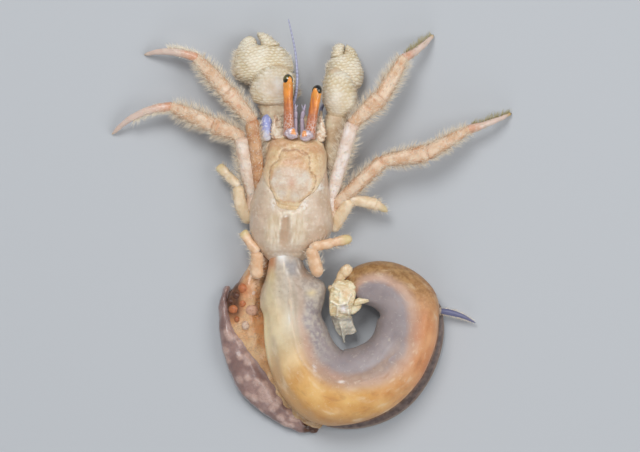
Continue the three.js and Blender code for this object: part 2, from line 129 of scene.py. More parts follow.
class Graph:
    # The node tree of one finish.
    def __init__(self, name):
        self.material = bpy.data.materials.new(name)
        self.material.use_nodes = True
        self.tree = self.material.node_tree
        self.tree.nodes.clear()
        self.place = self.node("ShaderNodeTexCoord", output="Object")
        self.color = None  # the finish's colour so far

    def node(self, kind, settings=None, inputs=(), output=0):
        made = self.tree.nodes.new(kind)
        for key, value in (settings or {}).items():
            setattr(made, key, value)
        for key, value in inputs.items() if isinstance(inputs, dict) else enumerate(inputs):
            if isinstance(value, Wire):
                self.tree.links.new(value.socket, made.inputs[key])
            elif value is not None:
                made.inputs[key].default_value = value
        return Wire(self, made.outputs[output])

    def value(self, name):
        return self.node("ShaderNodeAttribute", {"attribute_name": name}, output="Fac")

    def noise(self, size, detail=3.0, stretch=None, distortion=0.0):
        # Cloudy values from 0 to 1 with features of a size in mm; stretch squeezes it along X, Y and Z.
        place = self.place
        if stretch:
            place = self.node("ShaderNodeVectorMath", {"operation": "MULTIPLY"}, (place, stretch))
        return self.node("ShaderNodeTexNoise", inputs={
            "Vector": place, "Scale": 1000 / size, "Detail": detail, "Distortion": distortion})

    def fibres(self, along, across, detail=4.0):
        # Streaks drawn out along a piece, from two of its own numbers.
        place = self.node("ShaderNodeCombineXYZ", inputs=(along, across, 0.0))
        return self.node(
            "ShaderNodeTexNoise",
            inputs={"Vector": place, "Scale": 1.0, "Detail": detail, "Distortion": 0.3})

    def cells(self, size, feature="F1"):
        return self.node(
            "ShaderNodeTexVoronoi", {"feature": feature}, {"Vector": self.place, "Scale": 1000 / size})

    def blend(self, share, first, second):
        # A colour that turns from first to second; plain colours are (red, green, blue) as seen, 0 to 255.
        full = [(*paint(*c), 1) if isinstance(c, tuple) else c for c in (first, second)]
        return self.node("ShaderNodeMix", {"data_type": "RGBA"}, {0: share, 6: full[0], 7: full[1]}, output=2)

    def lay(self, share, over):
        # A colour over the finish's colour so far.
        self.color = self.blend(share, self.color, over)

    def close(self, roughness=0.5, bump=None, bumpDepth=0.05, coat=0.0, coatRoughness=0.15,
              flesh=0.0, fleshDepth=0.5, specular=0.5, glow=0.0):
        normal = None
        if bump is not None:
            normal = self.node(
                "ShaderNodeBump", inputs={"Strength": 1.0, "Distance": bumpDepth * mm, "Height": bump})
        color = (*self.color, 1) if isinstance(self.color, tuple) else self.color
        settings = {
            "Base Color": color, "Roughness": roughness, "Normal": normal,
            "Coat Weight": coat, "Coat Roughness": coatRoughness, "Specular IOR Level": specular,
            "Subsurface Weight": flesh, "Subsurface Radius": (1.0, 0.55, 0.35),
            "Subsurface Scale": fleshDepth * mm,
            # glow is painted light: the surface gives off a little light of its own colour
            "Emission Color": color, "Emission Strength": glow,
        }
        shader = self.node("ShaderNodeBsdfPrincipled", inputs=settings)
        end = self.tree.nodes.new("ShaderNodeOutputMaterial")
        self.tree.links.new(shader.socket, end.inputs["Surface"])
        return self.material


def paint(red, green, blue):
    # A colour as seen, 0 to 255, in linear light.
    return tuple(
        ((c / 255 + 0.055) / 1.055) ** 2.4 if c > 10 else c / 255 / 12.92 for c in (red, green, blue))


def follow(rows, t, column=1):
    # The value in a column of rows [t, value, ...] at t, as a smooth curve through the rows.
    table = np.array(rows, float)
    x, y = table[:, 0], table[:, column]
    slope = np.zeros(len(x))
    slope[1:-1] = (y[2:] - y[:-2]) / (x[2:] - x[:-2])
    slope[0], slope[-1] = (y[1] - y[0]) / (x[1] - x[0]), (y[-1] - y[-2]) / (x[-1] - x[-2])
    t = np.clip(t, x[0], x[-1])
    k = np.clip(np.searchsorted(x, t, side="right") - 1, 0, len(x) - 2)
    span = x[k + 1] - x[k]
    s = (t - x[k]) / span
    first = y[k] * (1 + 2 * s) * (1 - s) ** 2 + slope[k] * span * s * (1 - s) ** 2
    return first + y[k + 1] * s * s * (3 - 2 * s) - slope[k + 1] * span * s * s * (1 - s)


def smooth(value, low, high):
    # 0 at low, 1 at high, smooth between; low may be the larger.
    s = np.clip((value - low) / (high - low), 0, 1)
    return s * s * (3 - 2 * s)


def hump(value, middle, width):
    return np.exp(-((value - middle) / width) ** 2)


def spot(points, x, y, wide, long=None):
    # 1 at a place over the floor, falling softly to 0.
    return np.exp(-((points[:, 0] - x) / wide) ** 2 - ((points[:, 1] - y) / (long or wide)) ** 2)


def spots(points, rows):
    # Several soft spots added up: rows of x, y, half width, half length, strength.
    return sum(strength * spot(points, x, y, wide, long) for x, y, wide, long, strength in rows)


def lumps(points, size, seed=0):
    # Soft irregular bumps from -1 to 1, of a size in mm.
    total = np.zeros(len(points))
    turn = np.random.default_rng(seed)
    for _ in range(6):
        direction = turn.normal(size=3)
        direction *= turn.uniform(0.7, 1.5) * 2 * math.pi / size / np.linalg.norm(direction)
        total += np.sin(points @ direction + turn.uniform(0, 7))
    return total / 3.5


def unit(v):
    return v / np.maximum(np.linalg.norm(v, axis=-1, keepdims=True), 1e-9)


def step(start, length, heading, pitch=0):
    # The point a length away, at a heading from -Y towards +X and a pitch above the floor.
    flat = length * math.cos(math.radians(pitch))
    heading = math.radians(heading)
    rise = length * math.sin(math.radians(pitch))
    return np.array(start, float) + np.array([flat * math.sin(heading), -flat * math.cos(heading), rise])


def boxy(v, power):
    return np.sign(v) * np.abs(v) ** (2 / power)


def onPath(path, t):
    rows = np.column_stack([np.linspace(0, 1, len(path)), path])
    return np.stack([follow(rows, t, column) for column in (1, 2, 3)], axis=-1)


def surface(shape, t, angle):
    # Points of a tube at shares t of its length and angles round it; angle 0 is its across side and a
    # quarter turn is its top. Returns the points, the way out of the surface, and the way along.
    path = np.array(shape["path"], float)
    t = np.asarray(t, float)
    angle = np.broadcast_to(np.asarray(angle, float), t.shape)
    along = unit(onPath(path, np.minimum(t + 1e-3, 1)) - onPath(path, np.maximum(t - 1e-3, 0)))
    across = unit(np.cross(upward, along))
    high = np.cross(along, across)
    start, end = shape.get("round", (0.12, 0.12))
    inside = np.minimum(np.minimum(t / start, (1 - t) / end), 1)
    blunt = shape.get("blunt", 0.0)
    dome = blunt + (1 - blunt) * np.sqrt(np.maximum(1 - (1 - inside) ** 2, 0))
    power = shape.get("power", 2.2)
    side, rise = boxy(np.cos(angle), power), boxy(np.sin(angle), power)
    wide, tall = follow(shape["sizes"], t, 1) * dome, follow(shape["sizes"], t, 2) * dome
    shift = follow(shape["shift"], t) if "shift" in shape else 0 * t
    point = onPath(path, t) + across * (wide * side + shift)[:, None] + high * (tall * rise)[:, None]
    out = unit(
        across * (side / np.maximum(wide, 0.05))[:, None] + high * (rise / np.maximum(tall, 0.05))[:, None])
    ends = (1 - inside) ** 2 * np.where(t < 0.5, -1, 1)
    return point, unit(out + along * ends[:, None]), along


def deselect():
    if bpy.context.mode != "OBJECT":
        bpy.ops.object.mode_set(mode="OBJECT")
    bpy.ops.object.select_all(action="DESELECT")


def startTube(name, sides, rings):
    # A cylinder of unit size, cut into rings along its length.
    deselect()
    bpy.ops.mesh.primitive_cylinder_add(vertices=sides, radius=1, depth=1, end_fill_type="TRIFAN")
    tube = bpy.context.object
    tube.name = tube.data.name = name
    mesh = tube.data
    height = np.empty(len(mesh.vertices) * 3)
    mesh.vertices.foreach_get("co", height)
    height = height[2::3]
    ends = np.empty(len(mesh.edges) * 2, int)
    mesh.edges.foreach_get("vertices", ends)
    upright = np.abs(height[ends[0::2]] - height[ends[1::2]]) > 0.5
    mesh.polygons.foreach_set("select", np.zeros(len(mesh.polygons), bool))
    mesh.vertices.foreach_set("select", np.zeros(len(mesh.vertices), bool))
    mesh.edges.foreach_set("select", upright)
    bpy.context.tool_settings.mesh_select_mode = (False, True, False)
    bpy.ops.object.mode_set(mode="EDIT")
    bpy.ops.mesh.subdivide(number_cuts=rings - 1)
    bpy.ops.object.mode_set(mode="OBJECT")
    return tube


def corners(piece):
    flat = np.empty(len(piece.data.vertices) * 3)
    piece.data.vertices.foreach_get("co", flat)
    return flat.reshape(-1, 3)


def setCorners(piece, points):
    # Points are in mm, as the model is built, and nothing goes under the floor.
    points = points - standPoint
    points[:, 2] = np.maximum(points[:, 2], 0)
    piece.data.vertices.foreach_set("co", (points * mm).ravel())
    piece.data.update()


def note(piece, **values):
    # Numbers that the finishes read, one for each corner of the mesh.
    for name, numbers in values.items():
        kept = piece.data.attributes.new(name, "FLOAT", "POINT")
        kept.data.foreach_set(
            "value", np.broadcast_to(np.asarray(numbers, np.float32), len(piece.data.vertices)).copy())


def closeUp(piece, material, slot, *nodes):
    # Faces out and smooth, then the finish, the body that it rides on, and the solids that it stands for.
    deselect()
    piece.select_set(True)
    bpy.context.view_layer.objects.active = piece
    bpy.ops.object.mode_set(mode="EDIT")
    bpy.ops.mesh.select_all(action="SELECT")
    bpy.ops.mesh.normals_make_consistent(inside=False)
    bpy.ops.object.mode_set(mode="OBJECT")
    bpy.ops.object.shade_smooth()
    piece.data.materials.clear()
    piece.data.materials.append(material)
    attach(piece, "root")
    if nodes:
        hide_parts(*nodes)
    return piece


def makeTube(name, shape, sides=28, rings=34, sculpt=None, crowd=0.75, **notes):
    # A tube piece; sculpt gives how far each point is pushed out, in mm.
    tube = startTube(name, sides, rings)
    unitPoints = corners(tube)
    level, angle = unitPoints[:, 2] + 0.5, np.arctan2(unitPoints[:, 1], unitPoints[:, 0])
    onRim = np.hypot(unitPoints[:, 0], unitPoints[:, 1]) > 0.5
    t = level * (1 - crowd) + (0.5 - np.cos(level * math.pi) / 2) * crowd
    point, out, along = surface(shape, t, angle)
    middle = onPath(np.array(shape["path"], float), t)
    if "shift" in shape:
        middle = middle + unit(np.cross(upward, along)) * follow(shape["shift"], t)[:, None]
    point[~onRim] = middle[~onRim]
    extra = {}
    if sculpt:
        pushed = sculpt(t, angle, point)
        if isinstance(pushed, tuple):
            pushed, extra = pushed
        point = point + out * np.where(onRim, pushed, 0)[:, None]
    setCorners(tube, point)
    note(tube, **{"along": t, "top": out[:, 2], **notes, **extra})
    return tube


def makeSheet(name, columns, rows, place, thickness):
    # A thin plate from a grid; place turns each across (-1 to 1) and level (0 to 1) into a point and notes.
    deselect()
    bpy.ops.mesh.primitive_grid_add(x_subdivisions=columns, y_subdivisions=rows, size=2)
    sheet = bpy.context.object
    sheet.name = sheet.data.name = name
    start = corners(sheet)
    point, notes = place(start[:, 0], start[:, 1] / 2 + 0.5)
    setCorners(sheet, point)
    note(sheet, **notes)
    # the plate gets its thickness on the under side
    if np.mean([face.normal.z for face in sheet.data.polygons]) < 0:
        bpy.ops.object.mode_set(mode="EDIT")
        bpy.ops.mesh.select_all(action="SELECT")
        bpy.ops.mesh.flip_normals()
        bpy.ops.object.mode_set(mode="OBJECT")
    wall = sheet.modifiers.new("thickness", "SOLIDIFY")
    wall.thickness = thickness * mm
    wall.offset = -1
    bpy.ops.object.modifier_apply(modifier=wall.name)
    lowest = corners(sheet)
    lowest[:, 2] = np.maximum(lowest[:, 2], 0)
    sheet.data.vertices.foreach_set("co", lowest.ravel())
    return sheet


def join(name, pieces):
    deselect()
    for piece in pieces:
        piece.select_set(True)
    bpy.context.view_layer.objects.active = pieces[0]
    bpy.ops.object.join()
    pieces[0].name = pieces[0].data.name = name
    return pieces[0]


hairForm = {
    "levels": (0.0, 0.35, 0.7), "widths": (1.0, 0.8, 0.5), "corners": 3,  # rings up to the point
    "rootDepth": 0.06, "lowest": 0.02,  # mm under the skin, mm over the floor
    "droop": 0.12,  # share of the length
    "patch": (0.0012, 0.003),  # size of a hair's own patch on the unwrap
}


class Coat:
    # Many thin curved hairs that become one mesh, each with a small patch of its own on the unwrap.
    def __init__(self, name, slot, strips, seed):
        self.name, self.slot, self.strips = name, slot, strips
        self.turn = np.random.default_rng(seed)
        self.roots, self.ways, self.bends, self.thick = [], [], [], []
        self.uvs, self.tones, self.golds = [], [], []
        self.strip = 0

    def grow(self, shape, count, angles, length, spread=0.35, span=(0.04, 0.97), lean=0.35, wild=0.22,
             thick=0.023, tone=0.5, tuft=2, bend=0.25, gold=0.0):
        # Hairs in small tufts round the given angles of a tube.
        turn = self.turn
        tufts = max(count // tuft, 1)
        t = np.repeat(turn.uniform(*span, tufts), tuft) + turn.normal(0, 0.004, tufts * tuft)
        angle = np.repeat(turn.choice(np.radians(angles), tufts) + turn.normal(0, spread, tufts), tuft)
        t, angle = np.clip(t, 0.01, 0.99), angle + turn.normal(0, 0.04, tufts * tuft)
        point, out, along = surface(shape, t, angle)
        common = np.repeat(turn.normal(0, wild, (tufts, 3)), tuft, axis=0)
        way = unit(out + along * lean + common + turn.normal(0, wild * 0.6, point.shape))
        size = np.repeat(length[0] + (length[1] - length[0]) * turn.uniform(0, 1, tufts) ** 1.5, tuft)
        size = size * turn.uniform(0.75, 1.0, tufts * tuft)
        long = (size * (0.65 + 0.35 * np.sin(np.pi * t)))[:, None]
        self.roots.append(point - out * hairForm["rootDepth"])
        self.ways.append(way * long)
        self.bends.append((along * bend - upward * hairForm["droop"]) * long)
        self.thick.append(np.full(len(t), thick) * turn.uniform(0.8, 1.2, len(t)))
        self.uvs.append(np.column_stack([
            (self.strip + 0.04 + 0.92 * t) / self.strips, 0.02 + 0.96 * ((angle / (2 * math.pi)) % 1)]))
        self.tones.append(np.full(len(t), tone) + turn.normal(0, 0.16, len(t)))
        self.golds.append(np.full(len(t), gold))
        self.strip += 1

    def finish(self, material):
        root, way, bend = (np.concatenate(part) for part in (self.roots, self.ways, self.bends))
        thick, uv, tone = (np.concatenate(part) for part in (self.thick, self.uvs, self.tones))
        count, levels, around = len(root), hairForm["levels"], hairForm["corners"]
        each = len(levels) * around + 1  # corners of one hair
        side = unit(np.cross(way, upward + 0.01))
        other = unit(np.cross(way, side))
        rings = []
        for level, width in zip(levels, hairForm["widths"]):
            centre = root + way * level + bend * level ** 2
            for corner in range(around):
                turned = corner * 2 * math.pi / around
                outward = side * math.cos(turned) + other * math.sin(turned)
                rings.append(centre + outward * (thick * width)[:, None])
        rings.append(root + way + bend)
        points = np.stack(rings, axis=1)  # hairs, corners of each, 3
        points[:, :, 2] = np.maximum(points[:, :, 2], hairForm["lowest"])
        last = (len(levels) - 1) * around
        faces = []
        for ring in range(0, last, around):
            for corner in range(around):
                beside = (corner + 1) % around
                faces.append((ring + corner, ring + beside, ring + around + beside, ring + around + corner))
        faces += [(last + corner, last + (corner + 1) % around, each - 1) for corner in range(around)]
        faces.append(tuple(reversed(range(around))))
        flat = np.concatenate(
            [(np.array(face)[None] + np.arange(count)[:, None] * each) for face in faces], axis=1)
        sizes = np.tile([len(face) for face in faces], count)
        mesh = bpy.data.meshes.new(self.name)
        mesh.vertices.add(count * each)
        mesh.vertices.foreach_set("co", ((points.reshape(-1, 3) - standPoint) * mm).ravel())
        mesh.loops.add(flat.size)
        mesh.loops.foreach_set("vertex_index", flat.ravel())
        mesh.polygons.add(len(sizes))
        mesh.polygons.foreach_set("loop_start", np.concatenate([[0], np.cumsum(sizes)[:-1]]))
        mesh.update(calc_edges=True)
        wide, long = hairForm["patch"]
        patch = [(corner * wide, level * long) for level in levels for corner in range(around)]
        patch = np.array(patch + [(wide, long)])
        places = (uv[:, None] + patch[None]).reshape(-1, 2)
        layer = mesh.uv_layers.new(name="OFBake")
        layer.data.foreach_set("uv", places[flat.ravel()].ravel())
        hairs = bpy.data.objects.new(self.name, mesh)
        bpy.context.scene.collection.objects.link(hairs)
        heights = np.append(np.repeat(levels, around), 1.0)
        note(
            hairs, gold=np.repeat(np.concatenate(self.golds), each), tone=np.repeat(tone, each),
            tip=np.tile(heights, count))
        return closeUp(hairs, material, self.slot)


def hairFinish():
    g = Graph("hair")
    tone = g.value("tone")
    g.color = g.blend(tone.ramp(0.2, 0.7), (176, 136, 96), (244, 234, 214))
    g.lay(g.value("tip").ramp(0.2, 1.0) * 0.45, (248, 243, 230))
    g.lay(g.value("gold"), g.blend(g.value("tip"), (128, 112, 50), (176, 164, 88)))
    # The faint glow is painted light: each hair gives off a little light of its own colour, lifting it out of
    # its own shade.
    return g.close(0.45, specular=0.35, glow=0.10)


def clawFinish():
    g = Graph("clawShell")
    ridge, top = g.value("ridge"), g.value("top")
    cloud, fine = g.noise(2.2), g.noise(0.35, 4.0)
    g.color = g.blend(cloud.ramp(0.35, 0.7), (212, 194, 158), (232, 222, 200))
    # Painted shade: darker brown in the drops between the scale rows.
    g.lay(ridge.ramp(0.5, 0.0) * 0.65, (158, 128, 92))
    # Painted highlight: paler along the crests of the scale rows.
    g.lay(ridge.ramp(0.55, 1.0) * fine.ramp(0.25, 0.6) * 0.8, (240, 236, 222))
    g.lay(g.value("bald") * 0.8, g.blend(cloud.ramp(0.3, 0.7), (206, 184, 162), (222, 210, 202)))
    # Painted shade: darker brown on the sides and underside, where the surface turns from the light.
    g.lay(top.ramp(0.35, -0.3) * 0.6, (190, 150, 110))
    g.lay(g.value("tan") * fine.ramp(0.2, 0.5) * 0.75, (196, 156, 116))
    return g.close(0.5, fine, 0.03, coat=0.12, coatRoughness=0.35, flesh=0.08)


def legFinish():
    g = Graph("legShell")
    along, warmth, top = g.value("along"), g.value("warmth"), g.value("top")
    cloud, fine, specks = g.noise(1.6, 4.0), g.noise(0.28, 3.0), g.cells(0.42)
    g.color = g.blend(cloud.ramp(0.35, 0.68), (212, 172, 136), (232, 208, 182))
    g.lay(warmth.ramp(0.5, 1.0), g.blend(cloud.ramp(0.35, 0.65), (182, 128, 86), (208, 162, 120)))
    g.lay(warmth.ramp(0.5, 0.0), g.blend(cloud.ramp(0.35, 0.65), (228, 206, 190), (244, 234, 228)))
    # Painted shade: darker on the sides and underside of the warmer segments.
    g.lay((top + (cloud - 0.5) * 0.5).ramp(0.9, 0.2) * warmth.ramp(-0.1, 0.4) * 0.45, (192, 146, 108))
    g.lay(along.ramp(0.10, 0.0) * 0.35, (206, 146, 108))
    g.lay(along.ramp(0.88, 1.0) * 0.35, (206, 152, 114))
    streak = g.fibres(along * 7.0, top * 5.0 + g.noise(3.0) * 4.0)
    g.lay(streak.ramp(0.56, 0.66) * warmth.ramp(0.2, 0.6) * 0.5, (204, 134, 92))
    g.lay(streak.ramp(0.44, 0.34) * 0.35, (238, 218, 190))
    g.lay(specks.ramp(0.34, 0.08) * fine.ramp(0.4, 0.6) * 0.75, (250, 240, 226))
    return g.close(
        0.45, fine * 0.6 + specks.ramp(0.4, 0.05) * 1.4, 0.06, coat=0.2, coatRoughness=0.3, flesh=0.12)


def dactylFinish():
    g = Graph("legTip")
    along, cloud, warmth = g.value("along"), g.noise(0.9, 4.0), g.value("warmth")
    streak = g.noise(0.3, 2.0)
    g.color = g.blend((along + (cloud - 0.5) * 0.4).ramp(0.0, 0.42), (210, 152, 118), (222, 197, 182))
    g.lay(cloud.ramp(0.50, 0.75) * 0.5, (236, 222, 210))
    g.lay(along.ramp(0.80, 0.97) * warmth.ramp(0.45, 0.7), (196, 160, 74))
    g.lay(along.ramp(0.94, 0.99), g.blend(warmth.ramp(0.5, 0.6), (214, 182, 140), (84, 60, 36)))
    return g.close(0.38, streak, 0.02, coat=0.3, coatRoughness=0.25, flesh=0.12)


def smallLegFinish():
    g = Graph("smallLeg")
    along, warmth, cloud = g.value("along"), g.value("warmth"), g.noise(1.1, 4.0)
    g.color = g.blend(cloud.ramp(0.35, 0.7), (222, 196, 158), (238, 220, 192))
    g.lay(warmth * 0.85, g.blend(cloud.ramp(0.3, 0.7), (218, 166, 124), (234, 196, 162)))
    g.lay(g.value("tipTone") * along.ramp(0.62, 0.9) * 0.8, (214, 196, 142))
    g.lay(along.ramp(0.1, 0.0) * 0.5, (238, 230, 222))
    return g.close(0.4, g.noise(0.3), 0.02, coat=0.25, coatRoughness=0.25, flesh=0.15)


def shieldFinish():
    g = Graph("shieldPlate")
    groove, heart, front = g.value("groove"), g.value("heart"), g.value("front")
    cloud, fine, patches = g.noise(2.4, 5.0), g.noise(0.3, 4.0), g.noise(0.8, 4.0)
    g.color = g.blend(cloud.ramp(0.40, 0.60), (210, 172, 126), (228, 198, 154))
    g.lay(patches.ramp(0.52, 0.64) * 0.5, (240, 220, 184))
    g.lay(patches.ramp(0.47, 0.37) * 0.5, (214, 160, 120))
    soft = g.noise(1.5, 3.0)
    g.lay(
        (heart + (cloud - 0.5) * 1.1).ramp(0.1, 0.9) * 0.75,
        g.blend(soft.ramp(0.40, 0.60), (206, 184, 164), (218, 210, 198)))
    # Painted light: the sides are lightened to undo the shade where the plate bends down.
    g.lay(
        g.value("flank") * (1 - heart) * 0.55,
        g.blend(soft.ramp(0.4, 0.6), (230, 204, 170), (244, 224, 192)))
    g.lay(heart * patches.ramp(0.52, 0.62) * 0.3, (224, 190, 162))
    g.lay(g.value("centre") * 0.85, (208, 164, 136))
    g.lay(front * patches.ramp(0.30, 0.5) * 0.6, (206, 158, 120))
    g.lay(g.value("arch") * patches.ramp(0.25, 0.45) * 0.55, (172, 126, 106))
    g.lay(g.value("edge") * 0.6, (242, 228, 196))
    g.lay(g.value("rear") * patches.ramp(0.3, 0.5) * 0.4, (230, 208, 168))
    g.lay(g.value("heel") * patches.ramp(0.3, 0.5) * 0.5, (206, 164, 116))
    g.lay(groove * fine.ramp(0.2, 0.5) * 0.65, (166, 126, 94))
    g.lay(fine.ramp(0.56, 0.70) * 0.3, (244, 232, 212))
    g.lay(fine.ramp(0.44, 0.32) * 0.25, (190, 146, 110))
    return g.close(0.42, fine, 0.05, coat=0.25, coatRoughness=0.3, flesh=0.12)


def wallFinish():
    g = Graph("bodyWall")
    strip, lens, top = g.value("strip"), g.value("lens"), g.value("top")
    cloud, fine, mottle = g.noise(2.6, 5.0), g.noise(0.5, 5.0), g.cells(0.45)
    streaks = g.noise(0.5, 4.0, stretch=(1.0, 0.25, 1.0))
    g.color = g.blend(cloud.ramp(0.35, 0.65), (200, 174, 148), (216, 196, 172))
    g.lay(g.noise(0.9, 4.0).ramp(0.55, 0.7) * 0.4, (190, 158, 134))
    g.lay(fine.ramp(0.5, 0.7) * 0.5, (230, 216, 198))
    g.lay(g.value("cheek") * cloud.ramp(0.3, 0.6) * 0.35, (200, 166, 146))
    g.lay(lens * 0.85, g.blend(streaks.ramp(0.35, 0.6), (212, 190, 158), (230, 214, 190)))
    g.lay(g.value("brink") * fine.ramp(0.3, 0.6) * 0.5, (250, 242, 226))
    g.lay(strip * 0.8, g.blend(cloud.ramp(0.3, 0.7), (182, 150, 122), (202, 174, 148)))
    # Painted highlights: near-white glints at the strip and at the rear.
    g.lay(g.value("spot") * 0.9, (248, 246, 240))
    g.lay(
        g.value("glass") * cloud.ramp(0.2, 0.5) * 0.75,
        g.blend(fine.ramp(0.3, 0.7), (194, 176, 158), (212, 200, 188)))
    g.lay(g.value("bridge") * fine.ramp(0.3, 0.55) * 0.7, (244, 234, 212))
    g.lay(g.value("pale") * fine.ramp(0.38, 0.52) * 0.85, (244, 238, 230))
    g.lay(g.value("front").ramp(0.2, 1.0) * 0.8, g.blend(cloud, (206, 166, 130), (230, 206, 176)))
    g.lay(top.ramp(0.0, -0.7) * 0.7, g.blend(fine, (206, 186, 160), (226, 212, 192)))
    specks = mottle.ramp(0.16, 0.06) * cloud.ramp(0.5, 0.6)
    g.lay(specks * 0.5, (150, 112, 84))
    return g.close(
        0.38, fine + mottle.ramp(0.5, 0.1) * 0.3, 0.03, coat=0.3, coatRoughness=0.25, flesh=0.2,
        fleshDepth=0.7)


def pleonFinish():
    g = Graph("pleonSkin")
    along, across = g.value("along"), g.value("across")
    cloud, fine, wide = g.noise(3.2, 4.0), g.noise(0.7, 5.0), g.noise(6.0, 3.0)
    wander = across + (cloud - 0.5) * 0.3 + along.ramp(0.38, 0.62) * along.ramp(0.99, 0.9) * 0.3
    wander = wander + along.ramp(0.74, 0.86) * along.ramp(0.99, 0.94) * 0.2
    # The digestive gland shows through the outer half: cream, then yellow, then orange, then olive brown.
    gland = g.blend(cloud.ramp(0.3, 0.7), (212, 188, 148), (234, 216, 180))
    gland = g.blend(
        (along + (wide - 0.5) * 0.1).ramp(0.15, 0.32), gland,
        g.blend(cloud.ramp(0.3, 0.7), (210, 154, 82), (230, 186, 118)))
    gland = g.blend(
        (along + (wide - 0.5) * 0.15).ramp(0.42, 0.58), gland,
        g.blend(cloud.ramp(0.3, 0.7), (206, 134, 84), (224, 166, 118)))
    gland = g.blend(
        (along + (wide - 0.5) * 0.1).ramp(0.66, 0.82), gland,
        g.blend(fine.ramp(0.35, 0.65), (146, 106, 62), (178, 138, 90)))
    # Painted shade: the gland's colour darkens towards the outer edge along the bottom and the right side.
    gland = g.blend(wander.ramp(-0.5, -0.85) * along.ramp(0.30, 0.42) * 0.55, gland, (176, 118, 70))
    gland = g.blend(wander.ramp(-0.45, -0.8) * along.ramp(0.58, 0.72) * 0.7, gland, (142, 94, 54))
    # Greyish lavender flesh along the inner side.
    inner = g.blend(cloud.ramp(0.25, 0.75), (143, 131, 133), (163, 150, 149))
    inner = g.blend(along.ramp(0.34, 0.16) * fine.ramp(0.35, 0.65) * 0.8, inner, (196, 186, 172))
    # Painted shade: darker at the very inner edge.
    inner = g.blend(across.ramp(0.72, 0.98) * 0.5, inner, (142, 128, 122))
    border = g.blend(cloud.ramp(0.3, 0.7), (180, 140, 118), (202, 168, 146))
    g.color = g.blend(wander.ramp(0.50, 0.22), inner, border)
    g.lay(wander.ramp(0.28, -0.15), gland)
    fibres = g.fibres(along * 20.0, across * 5.0)
    g.lay(
        wander.band(0.0, 0.55) * along.ramp(0.24, 0.10) * 0.8,
        g.blend(cloud.ramp(0.35, 0.65), (180, 166, 147), (204, 193, 175)))
    g.lay(along.ramp(0.12, 0.01) * 0.8, g.blend(fine.ramp(0.35, 0.65), (176, 160, 144), (198, 184, 168)))
    g.lay(g.value("yellow") * cloud.ramp(0.3, 0.55) * 0.75, (222, 202, 150))
    g.lay(g.value("blue") * 0.75, g.blend(fine, (126, 124, 128), (166, 162, 164)))
    g.lay(g.value("tan") * fine.ramp(0.3, 0.5) * 0.8, (168, 132, 104))
    # Painted highlights: the white patch at the neck and small glints down the coil; the paler ring round the
    # clear round is the skin's own.
    g.lay(g.value("white") * fine.ramp(0.15, 0.4), (246, 246, 244))
    g.lay(g.value("seam") * fibres.ramp(0.38, 0.5) * 0.6, (162, 128, 104))
    g.lay(g.value("seam") * fibres.ramp(0.55, 0.66) * 0.12, (222, 202, 176))
    g.lay(g.value("band") * cloud.ramp(0.2, 0.5) * 0.55, (176, 154, 130))
    g.lay(
        across.ramp(-0.55, -0.9) * along.band(0.33, 0.16).ramp(0.0, 0.5) * cloud.ramp(0.3, 0.5) * 0.6,
        (196, 150, 104))
    g.lay(g.value("vein") * fine.ramp(0.3, 0.5) * 0.6, (222, 196, 172))
    g.lay(g.value("cream") * 0.85, g.blend(fine, (228, 204, 152), (244, 226, 184)))
    g.lay(g.value("peach") * 0.9, g.blend(cloud.ramp(0.3, 0.7), (196, 140, 100), (216, 178, 142)))
    g.lay(fibres.ramp(0.56, 0.70) * across.ramp(0.2, -0.15) * 0.35, (240, 220, 188))
    g.lay(fibres.ramp(0.44, 0.30) * across.ramp(0.4, 0.0) * along.ramp(0.2, 0.35) * 0.3, (164, 108, 68))
    pores = g.cells(0.9).ramp(0.10, 0.04)
    g.lay(pores * wide.ramp(0.5, 0.62) * 0.6, (98, 72, 52))
    flecks = g.noise(0.5, 4.0, distortion=1.2).ramp(0.58, 0.75)
    g.lay(flecks * 0.22, (240, 228, 206))
    # Painted shade: the clear outer fold is painted dark grey-brown, with the dark behind it painted in as
    # its colour.
    g.lay(g.value("rim"), g.blend(fine.ramp(0.3, 0.7), (74, 60, 58), (116, 100, 94)))
    g.lay(g.value("rimEdge") * 0.8, (172, 156, 146))
    return g.close(0.5, fine + fibres * 0.4, 0.025, coat=0.16, coatRoughness=0.3, flesh=0.2, fleshDepth=0.9)


def pouchFinish():
    g = Graph("pouchSkin")
    egg, edge, fine, cloud = g.value("egg"), g.value("edge"), g.noise(0.45, 5.0), g.noise(2.0, 4.0)
    veins = g.noise(1.3, 5.0, distortion=1.6).band(0.5, 0.03)
    g.color = g.blend(cloud.ramp(0.3, 0.7), (132, 104, 98), (162, 132, 124))
    flesh = g.blend(
        g.value("peach"), g.blend(cloud.ramp(0.35, 0.65), (188, 150, 104), (212, 180, 136)),
        g.blend(cloud.ramp(0.35, 0.65), (206, 144, 92), (222, 182, 138)))
    g.lay(g.value("flesh") * 0.97, flesh)
    g.lay(egg.ramp(0.1, 0.9) * 0.6, g.blend(fine, (196, 162, 148), (218, 192, 180)))
    g.lay(veins * 0.35, (112, 92, 90))
    g.lay(edge * 0.7, (176, 162, 162))
    g.lay(
        g.value("glow") * cloud.ramp(0.2, 0.5) * 0.75,
        g.blend(fine.ramp(0.3, 0.7), (184, 100, 54), (206, 134, 84)))
    g.lay(g.value("dark"), g.blend(fine.ramp(0.3, 0.7), (58, 32, 20), (98, 60, 38)))
    return g.close(0.34, fine, 0.03, coat=0.4, coatRoughness=0.2, flesh=0.2, fleshDepth=0.6)


def eggFinish():
    g = Graph("eggBeads")
    tone, fine = g.value("tone"), g.noise(0.4, 3.0)
    g.color = g.blend(tone.ramp(0.2, 0.5), (86, 50, 34), (188, 112, 68))
    g.lay(tone.ramp(0.62, 0.95), (216, 188, 166))
    g.lay(fine.ramp(0.5, 0.7) * 0.5, (120, 78, 52))
    return g.close(0.5, fine, 0.02, coat=0.12, coatRoughness=0.3, flesh=0.15)


